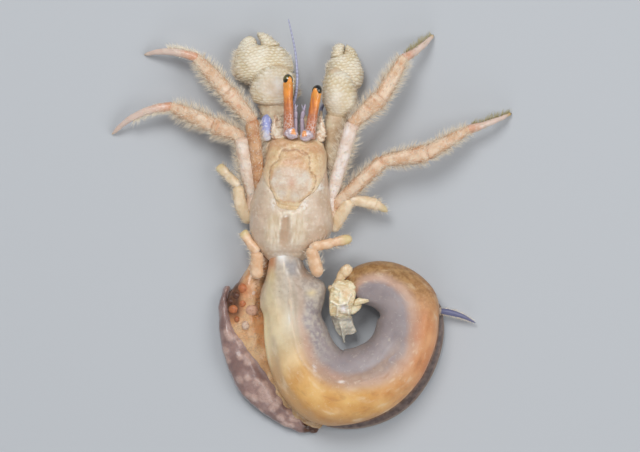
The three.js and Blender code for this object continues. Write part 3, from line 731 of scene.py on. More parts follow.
def tailFinish():
    g = Graph("tailShell")
    fine, cloud, crease = g.noise(0.5, 5.0), g.noise(1.2, 4.0, distortion=0.8), g.value("crease")
    g.color = g.blend(cloud.ramp(0.35, 0.65), (214, 190, 146), (236, 224, 192))
    g.lay(g.value("peach") * 0.8, g.blend(fine, (222, 186, 142), (236, 208, 172)))
    g.lay(g.value("pale") * 0.85, (232, 226, 232))
    g.lay(crease * fine.ramp(0.2, 0.6) * 0.8, (246, 240, 220))
    g.lay(fine.ramp(0.42, 0.3) * 0.5, (180, 148, 96))
    g.lay(g.value("glassy") * 0.85, g.blend(cloud.ramp(0.35, 0.65), (186, 182, 174), (222, 216, 200)))
    return g.close(0.36, fine, 0.05, coat=0.35, coatRoughness=0.2, flesh=0.2)


def stalkFinish():
    g = Graph("eyestalk")
    along, top = g.value("along"), g.value("top")
    fine, cloud = g.noise(0.5, 4.0), g.noise(0.8, 4.0, stretch=(1.0, 0.35, 1.0))
    net = g.cells(0.42, "DISTANCE_TO_EDGE")
    shade = along + (cloud - 0.5) * 0.3
    g.color = g.blend(shade.ramp(0.35, 0.8), (196, 118, 78), (246, 158, 70))
    streak = g.noise(0.45, 3.0, stretch=(1.0, 0.12, 1.0))
    g.lay(streak.ramp(0.45, 0.62) * along.ramp(0.97, 0.8) * 0.65, (186, 104, 66))
    g.lay(shade.band(0.5, 0.3) * fine.ramp(0.4, 0.6) * 0.5, (168, 92, 54))
    g.lay(along.ramp(0.6, 0.2) * net.ramp(0.14, 0.03) * 0.75, (222, 204, 194))
    g.lay(along.ramp(0.2, 0.04) * 0.6, (188, 158, 152))
    # Painted shade: darker on the sides and underside of the stalk.
    g.lay(top.ramp(0.55, -0.1) * 0.45, (150, 88, 56))
    return g.close(0.28, fine, 0.015, coat=0.5, coatRoughness=0.12, flesh=0.2)


def corneaFinish():
    g = Graph("cornea")
    patch = g.noise(1.1, 2.0)
    g.color = g.blend(patch.ramp(0.42, 0.60), (14, 13, 8), (92, 84, 30))
    return g.close(0.12, coat=1.0, coatRoughness=0.04)


def scaleFinish():
    g = Graph("eyeScale")
    across, along, fine, cloud = g.value("across"), g.value("along"), g.noise(0.3, 4.0), g.noise(0.5, 4.0)
    middle = (across + (cloud - 0.5) * 0.5).band(0.0, 0.75).ramp(0.3, 0.6)
    middle = middle * along.ramp(0.36, 0.5) * along.ramp(0.98, 0.85)
    g.color = g.blend(fine.ramp(0.3, 0.7), (176, 156, 162), (212, 198, 204))
    g.lay(cloud.ramp(0.55, 0.7) * 0.5, (206, 180, 160))
    g.lay(middle, g.blend(fine, (226, 140, 78), (244, 172, 104)))
    return g.close(0.3, fine, 0.02, coat=0.5, coatRoughness=0.12, flesh=0.15)


def feelerFinish():
    g = Graph("feeler")
    ring, fine, along = g.value("ring"), g.noise(0.5, 3.0), g.value("along")
    g.color = g.blend(ring, (96, 98, 132), (176, 178, 204))
    g.lay(along.ramp(0.14, 0.09) * ring.ramp(-1.0, 0.0), (196, 176, 152))
    g.lay(g.value("pale"), g.blend(fine, (170, 150, 172), (216, 204, 214)))
    return g.close(0.35, fine, 0.01, coat=0.3, flesh=0.1)


def baseFinish():
    g = Graph("feelerBase")
    fine, cloud = g.noise(0.35, 4.0), g.noise(1.0, 4.0)
    g.color = g.blend(cloud.ramp(0.35, 0.65), (200, 156, 120), (232, 212, 186))
    g.lay(fine.ramp(0.45, 0.62) * 0.65, (246, 238, 222))
    return g.close(0.4, fine, 0.03, coat=0.3, flesh=0.1)


def armFinish():
    g = Graph("clawArm")
    cloud, fine, blue, along = g.noise(1.4, 4.0), g.noise(0.35, 4.0), g.value("blue"), g.value("along")
    g.color = g.blend(cloud.ramp(0.35, 0.65), (196, 168, 134), (220, 204, 176))
    g.lay(fine.ramp(0.55, 0.75) * 0.5, (236, 224, 204))
    cuff = g.blend((along + (cloud - 0.5) * 0.6).ramp(0.3, 0.62), (214, 216, 230), (152, 160, 212))
    cuff = g.blend(fine.ramp(0.5, 0.65) * 0.7, cuff, (232, 232, 240))
    g.lay(blue, cuff)
    return g.close(0.42, fine, 0.035, coat=0.25, coatRoughness=0.3, flesh=0.12)


def floorFinish():
    g = Graph("studioFloor")
    g.color = studio["floorColor"]
    return g.close(0.75, specular=0.2)


bodyWall = {
    "rows": [  # y, middle x, half width, top, bottom
        (-13.4, 2.65, 3.0, 6.3, 3.2), (-12.9, 2.6, 3.8, 7.0, 2.5), (-11.2, 2.65, 4.35, 7.9, 1.2),
        (-9.0, 2.8, 4.75, 8.6, 0.2), (-6.4, 3.15, 5.35, 8.9, -0.3), (-3.4, 3.45, 6.0, 8.6, -0.3),
        (-0.4, 3.35, 6.25, 8.2, 0.1), (1.8, 3.6, 5.5, 7.6, 0.8), (3.4, 4.0, 4.0, 6.95, 1.6),
        (4.9, 4.2, 2.6, 5.6, 2.5),
    ],
    "sides": 170, "rings": 210, "frontDome": 0.9, "rearDome": 0.5, "sidePower": 2.5, "topPower": 2.35,
    "midline": (4.05, 0.05, -2.4),  # x, its slope, and the y where it is x
    "stripHalf": (0.42, 0.22, 0.16), "stripDepth": 0.20, "lensHeight": 0.26,
    "lineGap": 0.5, "lineHeight": 0.05, "brinkHeight": 0.07, "cheekHeight": 0.16, "cheekAt": 4.6,
    "shieldSeat": 0.22,  # how far the wall lies lower under the shield
    "plates": 5, "plateGroove": 0.35, "middleGroove": 0.25,  # the underside
    # Pale places, the last one under a painted highlight at the rear: x, y, half width, half length,
    # strength.
    "pale": [
        (5.9, -3.6, 0.5, 0.7, 1), (1.4, -3.3, 0.6, 0.8, 1), (-1.0, -6.0, 0.5, 0.5, 1),
        (4.5, 4.6, 0.8, 0.5, 1)],
    "glint": (4.85, 4.45, 0.75, 0.5, 0.8),
}


def bodyPoint(y, angle):
    x, half, top, bottom = (follow(bodyWall["rows"], y, column) for column in (1, 2, 3, 4))
    first, last = bodyWall["rows"][0][0], bodyWall["rows"][-1][0]
    front = np.clip((y - first) / bodyWall["frontDome"], 0, 1)
    rear = np.clip((last - y) / bodyWall["rearDome"], 0, 1)
    dome = (0.25 + 0.75 * np.sqrt(1 - (1 - front) ** 2)) * (0.93 + 0.07 * np.sqrt(1 - (1 - rear) ** 2))
    side = boxy(np.cos(angle), bodyWall["sidePower"]) * dome
    rise = boxy(np.sin(angle), bodyWall["topPower"]) * dome
    return np.column_stack([x + half * side, y, (top + bottom) / 2 + (top - bottom) / 2 * rise]), side, rise


def bodyTop(x, y):
    # Height of the body's back over a place.
    middle, half, top, bottom = (follow(bodyWall["rows"], y, column) for column in (1, 2, 3, 4))
    share = np.clip(np.abs(x - middle) / half, 0, 0.999) ** (bodyWall["sidePower"] / 2)
    return (top + bottom) / 2 + (top - bottom) / 2 * np.sqrt(1 - share ** 2) ** (2 / bodyWall["topPower"])


def makeBody(finishes):
    facts = bodyWall
    body = startTube("bodyWall", facts["sides"], facts["rings"])
    start = corners(body)
    first, last = facts["rows"][0][0], facts["rows"][-1][0]
    level, angle = start[:, 2] + 0.5, np.arctan2(start[:, 1], start[:, 0])
    y = first + (last - first) * (0.6 * level + 0.4 * (0.5 - np.cos(level * math.pi) / 2))
    point, side, rise = bodyPoint(y, angle)
    rim = np.hypot(start[:, 0], start[:, 1]) > 0.5
    point[~rim, 0] = follow(facts["rows"], y[~rim], 1)
    point[~rim, 2] = (follow(facts["rows"], y[~rim], 3) + follow(facts["rows"], y[~rim], 4)) / 2
    above = smooth(rise, 0.15, 0.55)
    middleX, slope, middleY = facts["midline"]
    midline = middleX + slope * (y - middleY)
    behind = smooth(y, -2.9, -1.9) * (1 - smooth(y, 0.9, 2.9))
    off = point[:, 0] - midline
    narrow, middle, wide = facts["stripHalf"]
    stripHalf = narrow + middle * smooth(y, -2.2, -0.8) + wide * smooth(y, -0.8, 1.6)
    strip = (1 - smooth(np.abs(off), stripHalf - 0.12, stripHalf + 0.06)) * behind * above
    swell = smooth(y, -3.0, -1.2) * (1 - smooth(y, 1.3, 3.4))
    fromStrip = np.abs(off) - stripHalf
    lens = smooth(fromStrip, 0.0, 0.16) * (1 - smooth(fromStrip, 1.5, 2.7)) * swell * above
    brink = hump(fromStrip, 0.2, 0.14) * swell * above
    lines = np.sin(off * 2 * math.pi / facts["lineGap"] + 0.7 * np.sin(y * 1.3))
    cheek = hump(np.abs(off + 0.4), facts["cheekAt"], 1.3) * smooth(y, -6, -2)
    cheek *= (1 - smooth(y, 1.0, 3.4)) * above
    push = (facts["lensHeight"] + facts["lineHeight"] * lines) * lens - facts["stripDepth"] * strip
    push += facts["brinkHeight"] * brink + facts["cheekHeight"] * cheek
    push += 0.07 * lumps(point, 2.6, 1) + 0.035 * lumps(point, 0.8, 2) + 0.015 * lumps(point, 0.4, 3)
    push += -0.07 * (hump(y, 3.7, 0.25) + hump(y, 2.9, 0.2) * 0.5) * above
    covered = underShield(point[:, 0], y) * above
    push = push * (1 - covered) - facts["shieldSeat"] * covered
    below = smooth(-rise, 0.3, 0.8)
    plates = np.abs(np.sin((y - first) * math.pi * facts["plates"] / (last - first)))
    push -= below * facts["plateGroove"] * (1 - plates ** 0.35)
    push -= below * facts["middleGroove"] * hump(point[:, 0], 3.2, 0.35)
    point[:, 0] += push * side * 0.5
    point[:, 2] += push * np.where(rise > 0, 1, -1) * np.abs(rise)
    setCorners(body, point)
    # Painted highlights: a small white glint at the front of the strip and a bright patch at the rear.
    bright = smooth(np.abs(off), 0.28, 0.16) * smooth(np.abs(y + 1.75), 0.22, 0.12)
    bright += spots(point, [facts["glint"]]) * above
    note(body, strip=strip, lens=np.clip(lens, 0, 1), brink=np.clip(brink, 0, 1), top=rise,
         front=smooth(-y, 11.5, 13.2), glass=hump(off, 0, 1.4) * smooth(y, 2.4, 4.2),
         cheek=np.clip(cheek, 0, 1), bridge=hump(off, 0, 1.0) * hump(y, -2.2, 0.35),
         spot=np.clip(bright, 0, 1), pale=np.clip(spots(point, facts["pale"]), 0, 1) * above)
    return closeUp(body, finishes["wall"], "body_wall", "carapace_rear", "thorax_underside")


shield = {
    "length": 11.3, "half": 4.75, "heading": -9, "rear": (4.05, -2.4), "lift": 0.12, "thickness": 0.4,
    "columns": 170, "rows": 200, "grooveDepth": 0.14, "grooveWidth": 0.10, "archDepth": 0.08,
    "heelDepth": 0.03,
    "edgeRoll": (0.15, 0.30), "rollWidth": 0.09,
    "rim": [  # share of the length from the rear, share of the half width
        (0.0, 0.14), (0.03, 0.27), (0.08, 0.36), (0.13, 0.41), (0.22, 0.54), (0.275, 0.66), (0.37, 0.80),
        (0.5, 0.925), (0.575, 0.975), (0.69, 1.01), (0.80, 0.99), (0.88, 0.95), (0.94, 0.88), (1.0, 0.77),
    ],
    "leftGroove": [
        (1.3, 9.2), (2.0, 8.9), (2.3, 8.2), (2.35, 7.4), (3.0, 6.7), (3.35, 5.9), (3.3, 4.5), (2.9, 3.1),
        (2.2, 1.9), (1.4, 1.15)],
    "rightGroove": [
        (-0.9, 9.3), (-1.7, 8.9), (-2.2, 8.2), (-2.3, 7.2), (-2.7, 6.3), (-3.4, 5.9), (-3.6, 5.0),
        (-3.4, 3.8), (-2.7, 2.6), (-1.7, 1.6)],
    # Across, forward, half width, half length, then height in mm or strength.
    "swellings": [(-0.25, 4.6, 2.0, 2.6, 0.10), (1.2, 8.1, 0.7, 0.8, 0.09), (-1.5, 8.1, 0.7, 0.8, 0.09),
                  (3.4, 7.6, 0.6, 1.1, 0.08), (-3.4, 7.6, 0.6, 1.1, 0.08)],
    "tanMarks": [(-1.3, 7.2, 0.9, 0.8), (-0.3, 8.0, 1.5, 1.2)],
    "centreMarks": [(-0.1, 4.3, 0.6, 1.0, 1.0), (0.6, 7.3, 1.5, 0.6, 0.7)],
}


def onShield(across, forward):
    turn = math.radians(shield["heading"])
    x = shield["rear"][0] + across * math.cos(turn) + forward * math.sin(turn)
    return x, shield["rear"][1] + across * math.sin(turn) - forward * math.cos(turn)


def underShield(x, y):
    # 1 well inside the shield's outline, falling to 0 at its edge.
    turn = math.radians(shield["heading"])
    sideways, back = x - shield["rear"][0], y - shield["rear"][1]
    across = sideways * math.cos(turn) + back * math.sin(turn)
    forward = sideways * math.sin(turn) - back * math.cos(turn)
    level = forward / shield["length"]
    gap = follow(shield["rim"], level) * shield["half"] - np.abs(across)
    return smooth(gap, -0.35, 0.2) * smooth(forward, -0.3, 0.25) * smooth(level, 1.02, 0.97)


def frontEdge(across):
    # How far the front margin reaches past the shield's length: a small rostrum and a lobe at each side.
    notches = 0.42 * hump(across, 1.5, 0.7) + 0.34 * hump(across, -1.2, 0.7)
    return 0.30 * hump(across, 0.15, 0.55) - notches - 0.6 * smooth(np.abs(across), 2.5, 4.1)


def lineDistance(across, forward, line):
    # Distance to a smooth line through [across, forward] places.
    knots = np.array(line, float)
    rows = np.column_stack([np.linspace(0, 1, len(knots)), knots])
    t = np.linspace(0, 1, 90)
    path = np.column_stack([follow(rows, t, 1), follow(rows, t, 2)])
    near = np.full(len(across), 99.0)
    for a, f in path:
        near = np.minimum(near, (across - a) ** 2 + (forward - f) ** 2)
    return np.sqrt(near)


def makeShield(finishes):
    facts = shield

    def place(share, level):
        across = share * follow(facts["rim"], level) * facts["half"]
        forward = level * (facts["length"] + frontEdge(across))
        x, y = onShield(across, forward)
        left, right = (lineDistance(across, forward, facts[key]) for key in ("leftGroove", "rightGroove"))
        line = np.minimum(left, right)
        groove = np.exp(-((line + 0.05 * np.sin(forward * 7 + across * 5)) / facts["grooveWidth"]) ** 2)
        reach = 3.05 - 0.9 * smooth(forward, 3.9, 2.0)
        heart = smooth((np.abs(across) / reach) ** 4 + (np.abs(forward - 4.1) / 2.6) ** 3, 1.6, 0.3)
        brow = forward - 9.2 + 0.14 * (across - 0.2) ** 2 - 0.12 * np.cos(across * 3.0)
        arch = np.exp(-(brow / 0.2) ** 2) * smooth(2.1 - np.abs(across - 0.2), 0, 0.5)
        front = smooth(forward, 8.9, 9.6) * (1 - smooth(forward, 10.3, 10.8))
        front *= smooth(np.abs(across), 0.6, 1.6)
        for a, f, wide, long in facts["tanMarks"]:
            front = np.maximum(front, hump(across, a, wide) * hump(forward, f, long))
        heel = hump(forward, 0.95 + 0.03 * across ** 2, 0.13) * smooth(2.1 - np.abs(across - 0.1), 0, 0.5)
        edgeGap = np.minimum(1 - np.abs(share), np.minimum(level * 1.5, (1 - level) * 2.2))
        rolled = 1 - np.sqrt(np.clip(edgeGap / facts["rollWidth"], 0, 1))
        point = np.column_stack([x, y, bodyTop(x, y)])
        height = facts["lift"] * smooth(forward, 0.6, 2.4) - 0.12 * smooth(forward, 1.6, 0.4)
        height -= facts["grooveDepth"] * groove + facts["archDepth"] * arch + facts["heelDepth"] * heel
        sideRoll, rearRoll = facts["edgeRoll"]
        height -= (sideRoll + rearRoll * smooth(forward, 3.4, 1.6)) * rolled
        for a, f, wide, long, rise in facts["swellings"]:
            height += rise * hump(across, a, wide) * hump(forward, f, long)
        # a front roll, a lip by the groove
        height += 0.10 * hump(forward, 10.7, 0.3) + 0.05 * hump(line, 0.45, 0.25)
        height += (0.07 * lumps(point, 1.6, 3) + 0.03 * lumps(point, 0.8, 4)) * (1 - 0.7 * heart)
        pits = np.clip(lumps(point, 0.6, 5), 0.35, 1) - 0.35
        point[:, 2] += height - 0.05 * pits * (1 - groove) * (1 - heart)
        centre = sum(strength * hump(across, a, wide) * hump(forward, f, long)
                     for a, f, wide, long, strength in facts["centreMarks"])
        return point, {
            "groove": groove, "heart": heart, "front": front, "arch": arch, "centre": np.clip(centre, 0, 1),
            "flank": smooth(np.abs(share), 0.62, 0.95),
            "edge": smooth(edgeGap, 0.10, 0.02) * (0.5 + 0.5 * smooth(level, 0.5, 0.8)),
            "rear": np.maximum(smooth(forward, 2.8, 1.4), hump(across, 0.1, 0.3) * smooth(forward, 4.0, 3.0)),
            "heel": np.clip(heel + 0.5 * smooth(forward, 0.9, 0.6), 0, 1)}

    plate = makeSheet("shieldPlate", facts["columns"], facts["rows"], place, facts["thickness"])
    return closeUp(plate, finishes["shield"], "shield_plate", "shield")


pleon = {
    "centre": (-5.7, 14.7),
    "rows": [  # angle round the coil's centre, distance, half width, top, bottom
        (-53, 16.2, 2.4, 6.2, 2.4), (-45.5, 14.4, 2.4, 6.55, 1.9), (-38.5, 12.9, 3.0, 6.6, 0.9),
        (-35.5, 11.9, 3.7, 6.7, 0.3), (-31, 10.6, 4.5, 6.9, -0.1), (-22.5, 9.6, 4.75, 7.0, -0.3),
        (-9, 8.95, 4.2, 7.2, -0.3), (8, 8.4, 4.7, 7.5, -0.3), (33, 8.7, 5.2, 7.8, -0.35),
        (66, 9.6, 5.9, 8.2, -0.35), (99, 9.25, 6.1, 8.2, -0.35), (123, 8.9, 5.95, 8.1, -0.35),
        (141, 8.7, 5.6, 7.9, -0.35), (160, 8.65, 5.3, 7.7, -0.3), (181, 8.75, 5.1, 7.5, -0.3),
        (199, 8.9, 4.75, 7.2, -0.3), (216, 8.5, 4.15, 7.0, -0.25), (240, 7.35, 3.5, 6.4, -0.2),
        (262, 6.05, 2.8, 5.7, 0.1), (279, 5.2, 1.9, 5.1, 1.1),
    ],
    "sides": 170, "rings": 330, "start": -45.5,
    # Share of the coil's length from the body, width of the thin outer fold.
    "fold": [
        (0.0, 0.0), (0.33, 0.0), (0.37, 0.3), (0.40, 0.8), (0.445, 1.3), (0.475, 1.5), (0.52, 1.65),
        (0.575, 1.5), (0.62, 1.4), (0.665, 1.2), (0.705, 0.95), (0.74, 0.3), (0.77, 0.0), (1.0, 0.0)],
    "foldHeight": 1.0, "foldAngle": math.pi + 0.66, "foldCrowding": 0.45,
    "neckRing": (3.3, 5.7, 1.15),  # the clear round in the neck: x, y, radius
    "lobeHeight": 0.20, "borderHeight": 0.16, "furrowDepth": 0.12, "seamDepth": 0.09, "bandDepth": 0.12,
    "veinHeight": 0.05,
    # Soft places: x, y, half width, half length, strength.
    "shoulder": [(-0.9, 8.9, 1.1, 1.3, 0.7)],
    # White: painted highlights at the neck and in two small glints down the coil, and a faint narrow streak.
    "white": [
        (4.85, 4.65, 0.75, 0.55, 1.3), (-0.1, 20.6, 0.14, 0.5, 1), (-4.1, 22.7, 0.5, 0.14, 1),
        (3.65, 13.4, 0.13, 0.8, 0.5)],
    "tan": [(1.3, 6.4, 0.8, 1.1, 1), (3.7, 10.9, 0.18, 0.8, 0.7)],
    "yellow": [(6.3, 6.6, 0.7, 1.6, 1), (0.3, 9.7, 0.8, 0.5, 1), (6.6, 10.0, 0.8, 2.2, 0.6)],
    "vein": [(3.7, 7.4), (3.5, 9.5), (3.35, 12.2), (3.0, 15.2), (2.5, 17.8), (1.4, 20.1), (-0.6, 22.0)],
    "band": [(6.2, 16.5), (5.7, 19.2), (5.0, 22.2), (3.1, 25.0), (0.4, 27.8)],
}


def coilPath():
    angles = np.linspace(pleon["rows"][0][0], pleon["rows"][-1][0], 82)
    distance, top, bottom = (follow(pleon["rows"], angles, column) for column in (1, 3, 4))
    turned = np.radians(angles)
    x, y = pleon["centre"][0] + distance * np.cos(turned), pleon["centre"][1] + distance * np.sin(turned)
    path = np.column_stack([x, y, (top + bottom) / 2])
    for _ in range(6):  # no kinks
        path[1:-1] = (path[:-2] + 2 * path[1:-1] + path[2:]) / 4
    return path


def coilShape():
    first, last = pleon["rows"][0][0], pleon["rows"][-1][0]
    sizes = [
        ((angle - first) / (last - first), half, (top - bottom) / 2)
        for angle, _, half, top, bottom in pleon["rows"]]
    return {"path": coilPath(), "sizes": sizes, "round": (0.012, 0.05), "blunt": 0.3, "power": 2.3}


def makePleon(finishes):
    facts = pleon
    shape = coilShape()
    skin = startTube("pleonSkin", facts["sides"], facts["rings"])
    start = corners(skin)
    level, angle = start[:, 2] + 0.5, np.arctan2(start[:, 1], start[:, 0])
    onRim = np.hypot(start[:, 0], start[:, 1]) > 0.5
    # The thin fold of loose skin lies low on the outer side; the corners are crowded towards it.
    foldAt = facts["foldAngle"]
    angle = angle + facts["foldCrowding"] * np.sin(angle - foldAt)
    first, last = facts["rows"][0][0], facts["rows"][-1][0]
    # Share of the coil's length, 0 where it leaves the body.
    t = (first + (last - first) * level - facts["start"]) / (last - facts["start"])
    half = follow(shape["sizes"], level, 1)
    reach = np.where(t > 0, follow(facts["fold"], np.clip(t, 0, 1)), 0)
    middle = onPath(shape["path"], level)
    point, out, along = surface(shape, level, angle)
    across = unit(np.cross(upward, along))
    inward = np.sum((point - middle) * across, axis=1)  # towards the coil's centre
    outer = smooth(-inward / half, 0.0, 0.9)
    point += across * (reach * outer * 0.98)[:, None]
    fromFold = (angle - foldAt + math.pi) % (2 * math.pi) - math.pi
    blade = np.exp(-(fromFold / 0.17) ** 2) * smooth(reach, 0.02, 0.3)
    brim = middle - across * half[:, None]
    point -= across * (np.sum((point - brim) * across, axis=1) * blade)[:, None]
    point[:, 2] += (facts["foldHeight"] - point[:, 2]) * blade * 0.75
    point[~onRim] = middle[~onRim]
    inward = np.sum((point - middle) * across, axis=1) / half
    above = smooth(out[:, 2], -0.1, 0.4)
    # Soft folds: a swelling at the left of the neck, a raised line down its left side, ripples across it.
    lobe = hump(t, 0.13, 0.05) * smooth(-inward, 0.4, 0.95) * above
    border = hump(inward + 0.95, 0, 0.04) * smooth(t, 0.09, 0.12) * (1 - smooth(t, 0.20, 0.25))
    border *= smooth(out[:, 2], -0.3, 0.1)
    furrow = hump(inward - 0.05, 0, 0.06) * smooth(t, 0.02, 0.05) * (1 - smooth(t, 0.16, 0.24)) * above
    wrinkles = np.sin(t * 210 + 3 * lumps(point, 5.0, 7)) * (1 - smooth(t, 0.05, 0.12)) * above
    seam = hump(inward - 0.28, 0, 0.08) * smooth(t, 0.36, 0.46) * (1 - smooth(t, 0.50, 0.62)) * above
    push = facts["lobeHeight"] * lobe + facts["borderHeight"] * border + 0.03 * wrinkles
    push -= facts["furrowDepth"] * furrow + facts["seamDepth"] * seam
    push += 0.10 * lumps(point, 5.0, 8) * above + 0.03 * lumps(point, 1.6, 9) * above
    push += 0.09 * lumps(point, 1.5, 10) * hump(t, 0.06, 0.06) * above
    band = np.exp(-(lineDistance(point[:, 0], point[:, 1], facts["band"]) / 0.5) ** 2) * above
    push += spots(point, facts["shoulder"]) - facts["bandDepth"] * band
    veinGap = lineDistance(point[:, 0], point[:, 1], facts["vein"]) + 0.06 * lumps(point, 0.9, 17)
    vein = np.exp(-(veinGap / 0.13) ** 2) * above
    push += facts["veinHeight"] * (vein - hump(veinGap, 0.4, 0.16) * above)
    creased = hump(t, 0.27, 0.03) * hump(inward, -0.2, 0.15) + hump(t, 0.40, 0.04) * hump(inward, 0.3, 0.12)
    push += 0.05 * lumps(point, 0.9, 11) * creased
    point = point + out * np.where(onRim, push * (1 - blade), 0)[:, None]
    setCorners(skin, point)
    rim = smooth(-inward, 1 - 1.05 * reach / half, 1 - 0.85 * reach / half) * smooth(reach, 0.05, 0.4)
    rim = np.maximum(rim * smooth(3.4 - point[:, 2], 0, 0.8), blade)
    # The neck: a painted highlight patch, a clear grey round in a paler ring, tan at the right, yellow at the
    # left.
    ringX, ringY, ringSize = facts["neckRing"]
    ringGap = np.hypot(point[:, 0] - ringX, point[:, 1] - ringY) / ringSize
    white = spots(point, facts["white"]) + 0.35 * hump(ringGap, 1.0, 0.1)
    tan, yellow = spots(point, facts["tan"]), spots(point, facts["yellow"])
    seamStreaks = hump(inward, 0.25, 0.16) * smooth(t, 0.2, 0.3) * (1 - smooth(t, 0.55, 0.7)) * above
    peach = smooth(point[:, 1], 7.2, 5.8) * smooth(-inward, 0.45, 0.75) * (1 - smooth(t, 0.1, 0.2))
    note(skin, along=t, across=inward, top=out[:, 2], rim=np.clip(rim, 0, 1),
         rimEdge=smooth(-inward, 0.965, 0.995) * blade, blue=smooth(ringGap, 1.0, 0.7) * above,
         white=np.clip(white, 0, 1) * above, tan=np.clip(tan, 0, 1) * above, vein=vein,
         yellow=np.clip(yellow, 0, 1) * above, cream=np.clip(0.9 * border + 0.35 * lobe, 0, 1),
         band=band, peach=peach, seam=np.clip(seam + 0.8 * seamStreaks, 0, 1))
    return closeUp(skin, finishes["pleon"], "pleon_skin", "pleon_1", "pleon_2", "pleon_3", "pleon_4")


pouch = {
    "rows": [  # x, y, half width, half height
        (12.95, 8.7, 0.4, 0.9), (13.4, 10.5, 0.6, 1.2), (13.35, 12.6, 0.85, 1.45),
        (12.6, 16.2, 1.45, 1.7), (10.7, 20.2, 2.2, 1.8), (8.35, 23.8, 2.5, 1.7), (5.9, 26.6, 1.9, 1.45),
        (3.6, 28.55, 1.35, 1.15), (1.5, 29.6, 1.0, 0.85), (-0.7, 30.0, 0.7, 0.5),
    ],
    "flesh": [  # the soft flesh between the flap and the coil
        (6.2, 1.4, 0.9, 1.3), (7.5, 3.7, 1.3, 1.6), (8.2, 6.0, 1.45, 1.8), (9.2, 8.2, 1.9, 1.9),
        (10.1, 10.8, 2.8, 1.85), (10.1, 13.5, 3.0, 1.7), (9.6, 16.0, 2.8, 1.6),
        (8.6, 18.8, 2.5, 1.5), (7.0, 21.8, 2.2, 1.4), (5.0, 24.8, 2.0, 1.3), (2.6, 27.2, 1.7, 1.15),
        (0.2, 28.8, 1.2, 0.9), (-1.4, 29.2, 0.8, 0.6),
    ],
    # the flesh's front end rises to the body: mm, the y where it starts, and where it's full
    "frontRise": (1.3, 5, 1),
    "eggs": 40, "eggSize": (0.55, 0.9), "eggHeight": 0.14,
    "glow": [(10.4, 9.2, 1.3, 1.5, 1), (11.8, 12.4, 0.9, 1.1, 1), (8.0, 5.2, 1.0, 2.0, 1)],
    # the beads lie on the flesh: its middle x, half width and half height
    "bed": (10.1, 3.0, 1.75), "sunk": 0.66,
    # Loose eggs at the pouch's mouth: x, y, radius, tone from dark through orange to pale.
    "beads": [
        (10.5, 9.0, 0.95, 0.55), (11.9, 12.1, 0.8, 0.5), (9.1, 9.7, 0.66, 1.0),
        (10.2, 14.5, 0.62, 1.0), (11.5, 13.6, 0.45, 0.4), (9.3, 12.2, 0.95, 0.8),
        (11.5, 10.1, 0.55, 0.1), (12.4, 10.9, 0.5, 0.05), (10.6, 11.2, 0.55, 0.65),
    ],
}


def pouchShape(rows):
    return {
        "path": [(x, y, tall - 0.2) for x, y, _, tall in rows],
        "sizes": [(i / (len(rows) - 1), half, tall) for i, (_, _, half, tall) in enumerate(rows)],
        "power": 2.0, "round": (0.05, 0.04), "blunt": 0.15,
    }


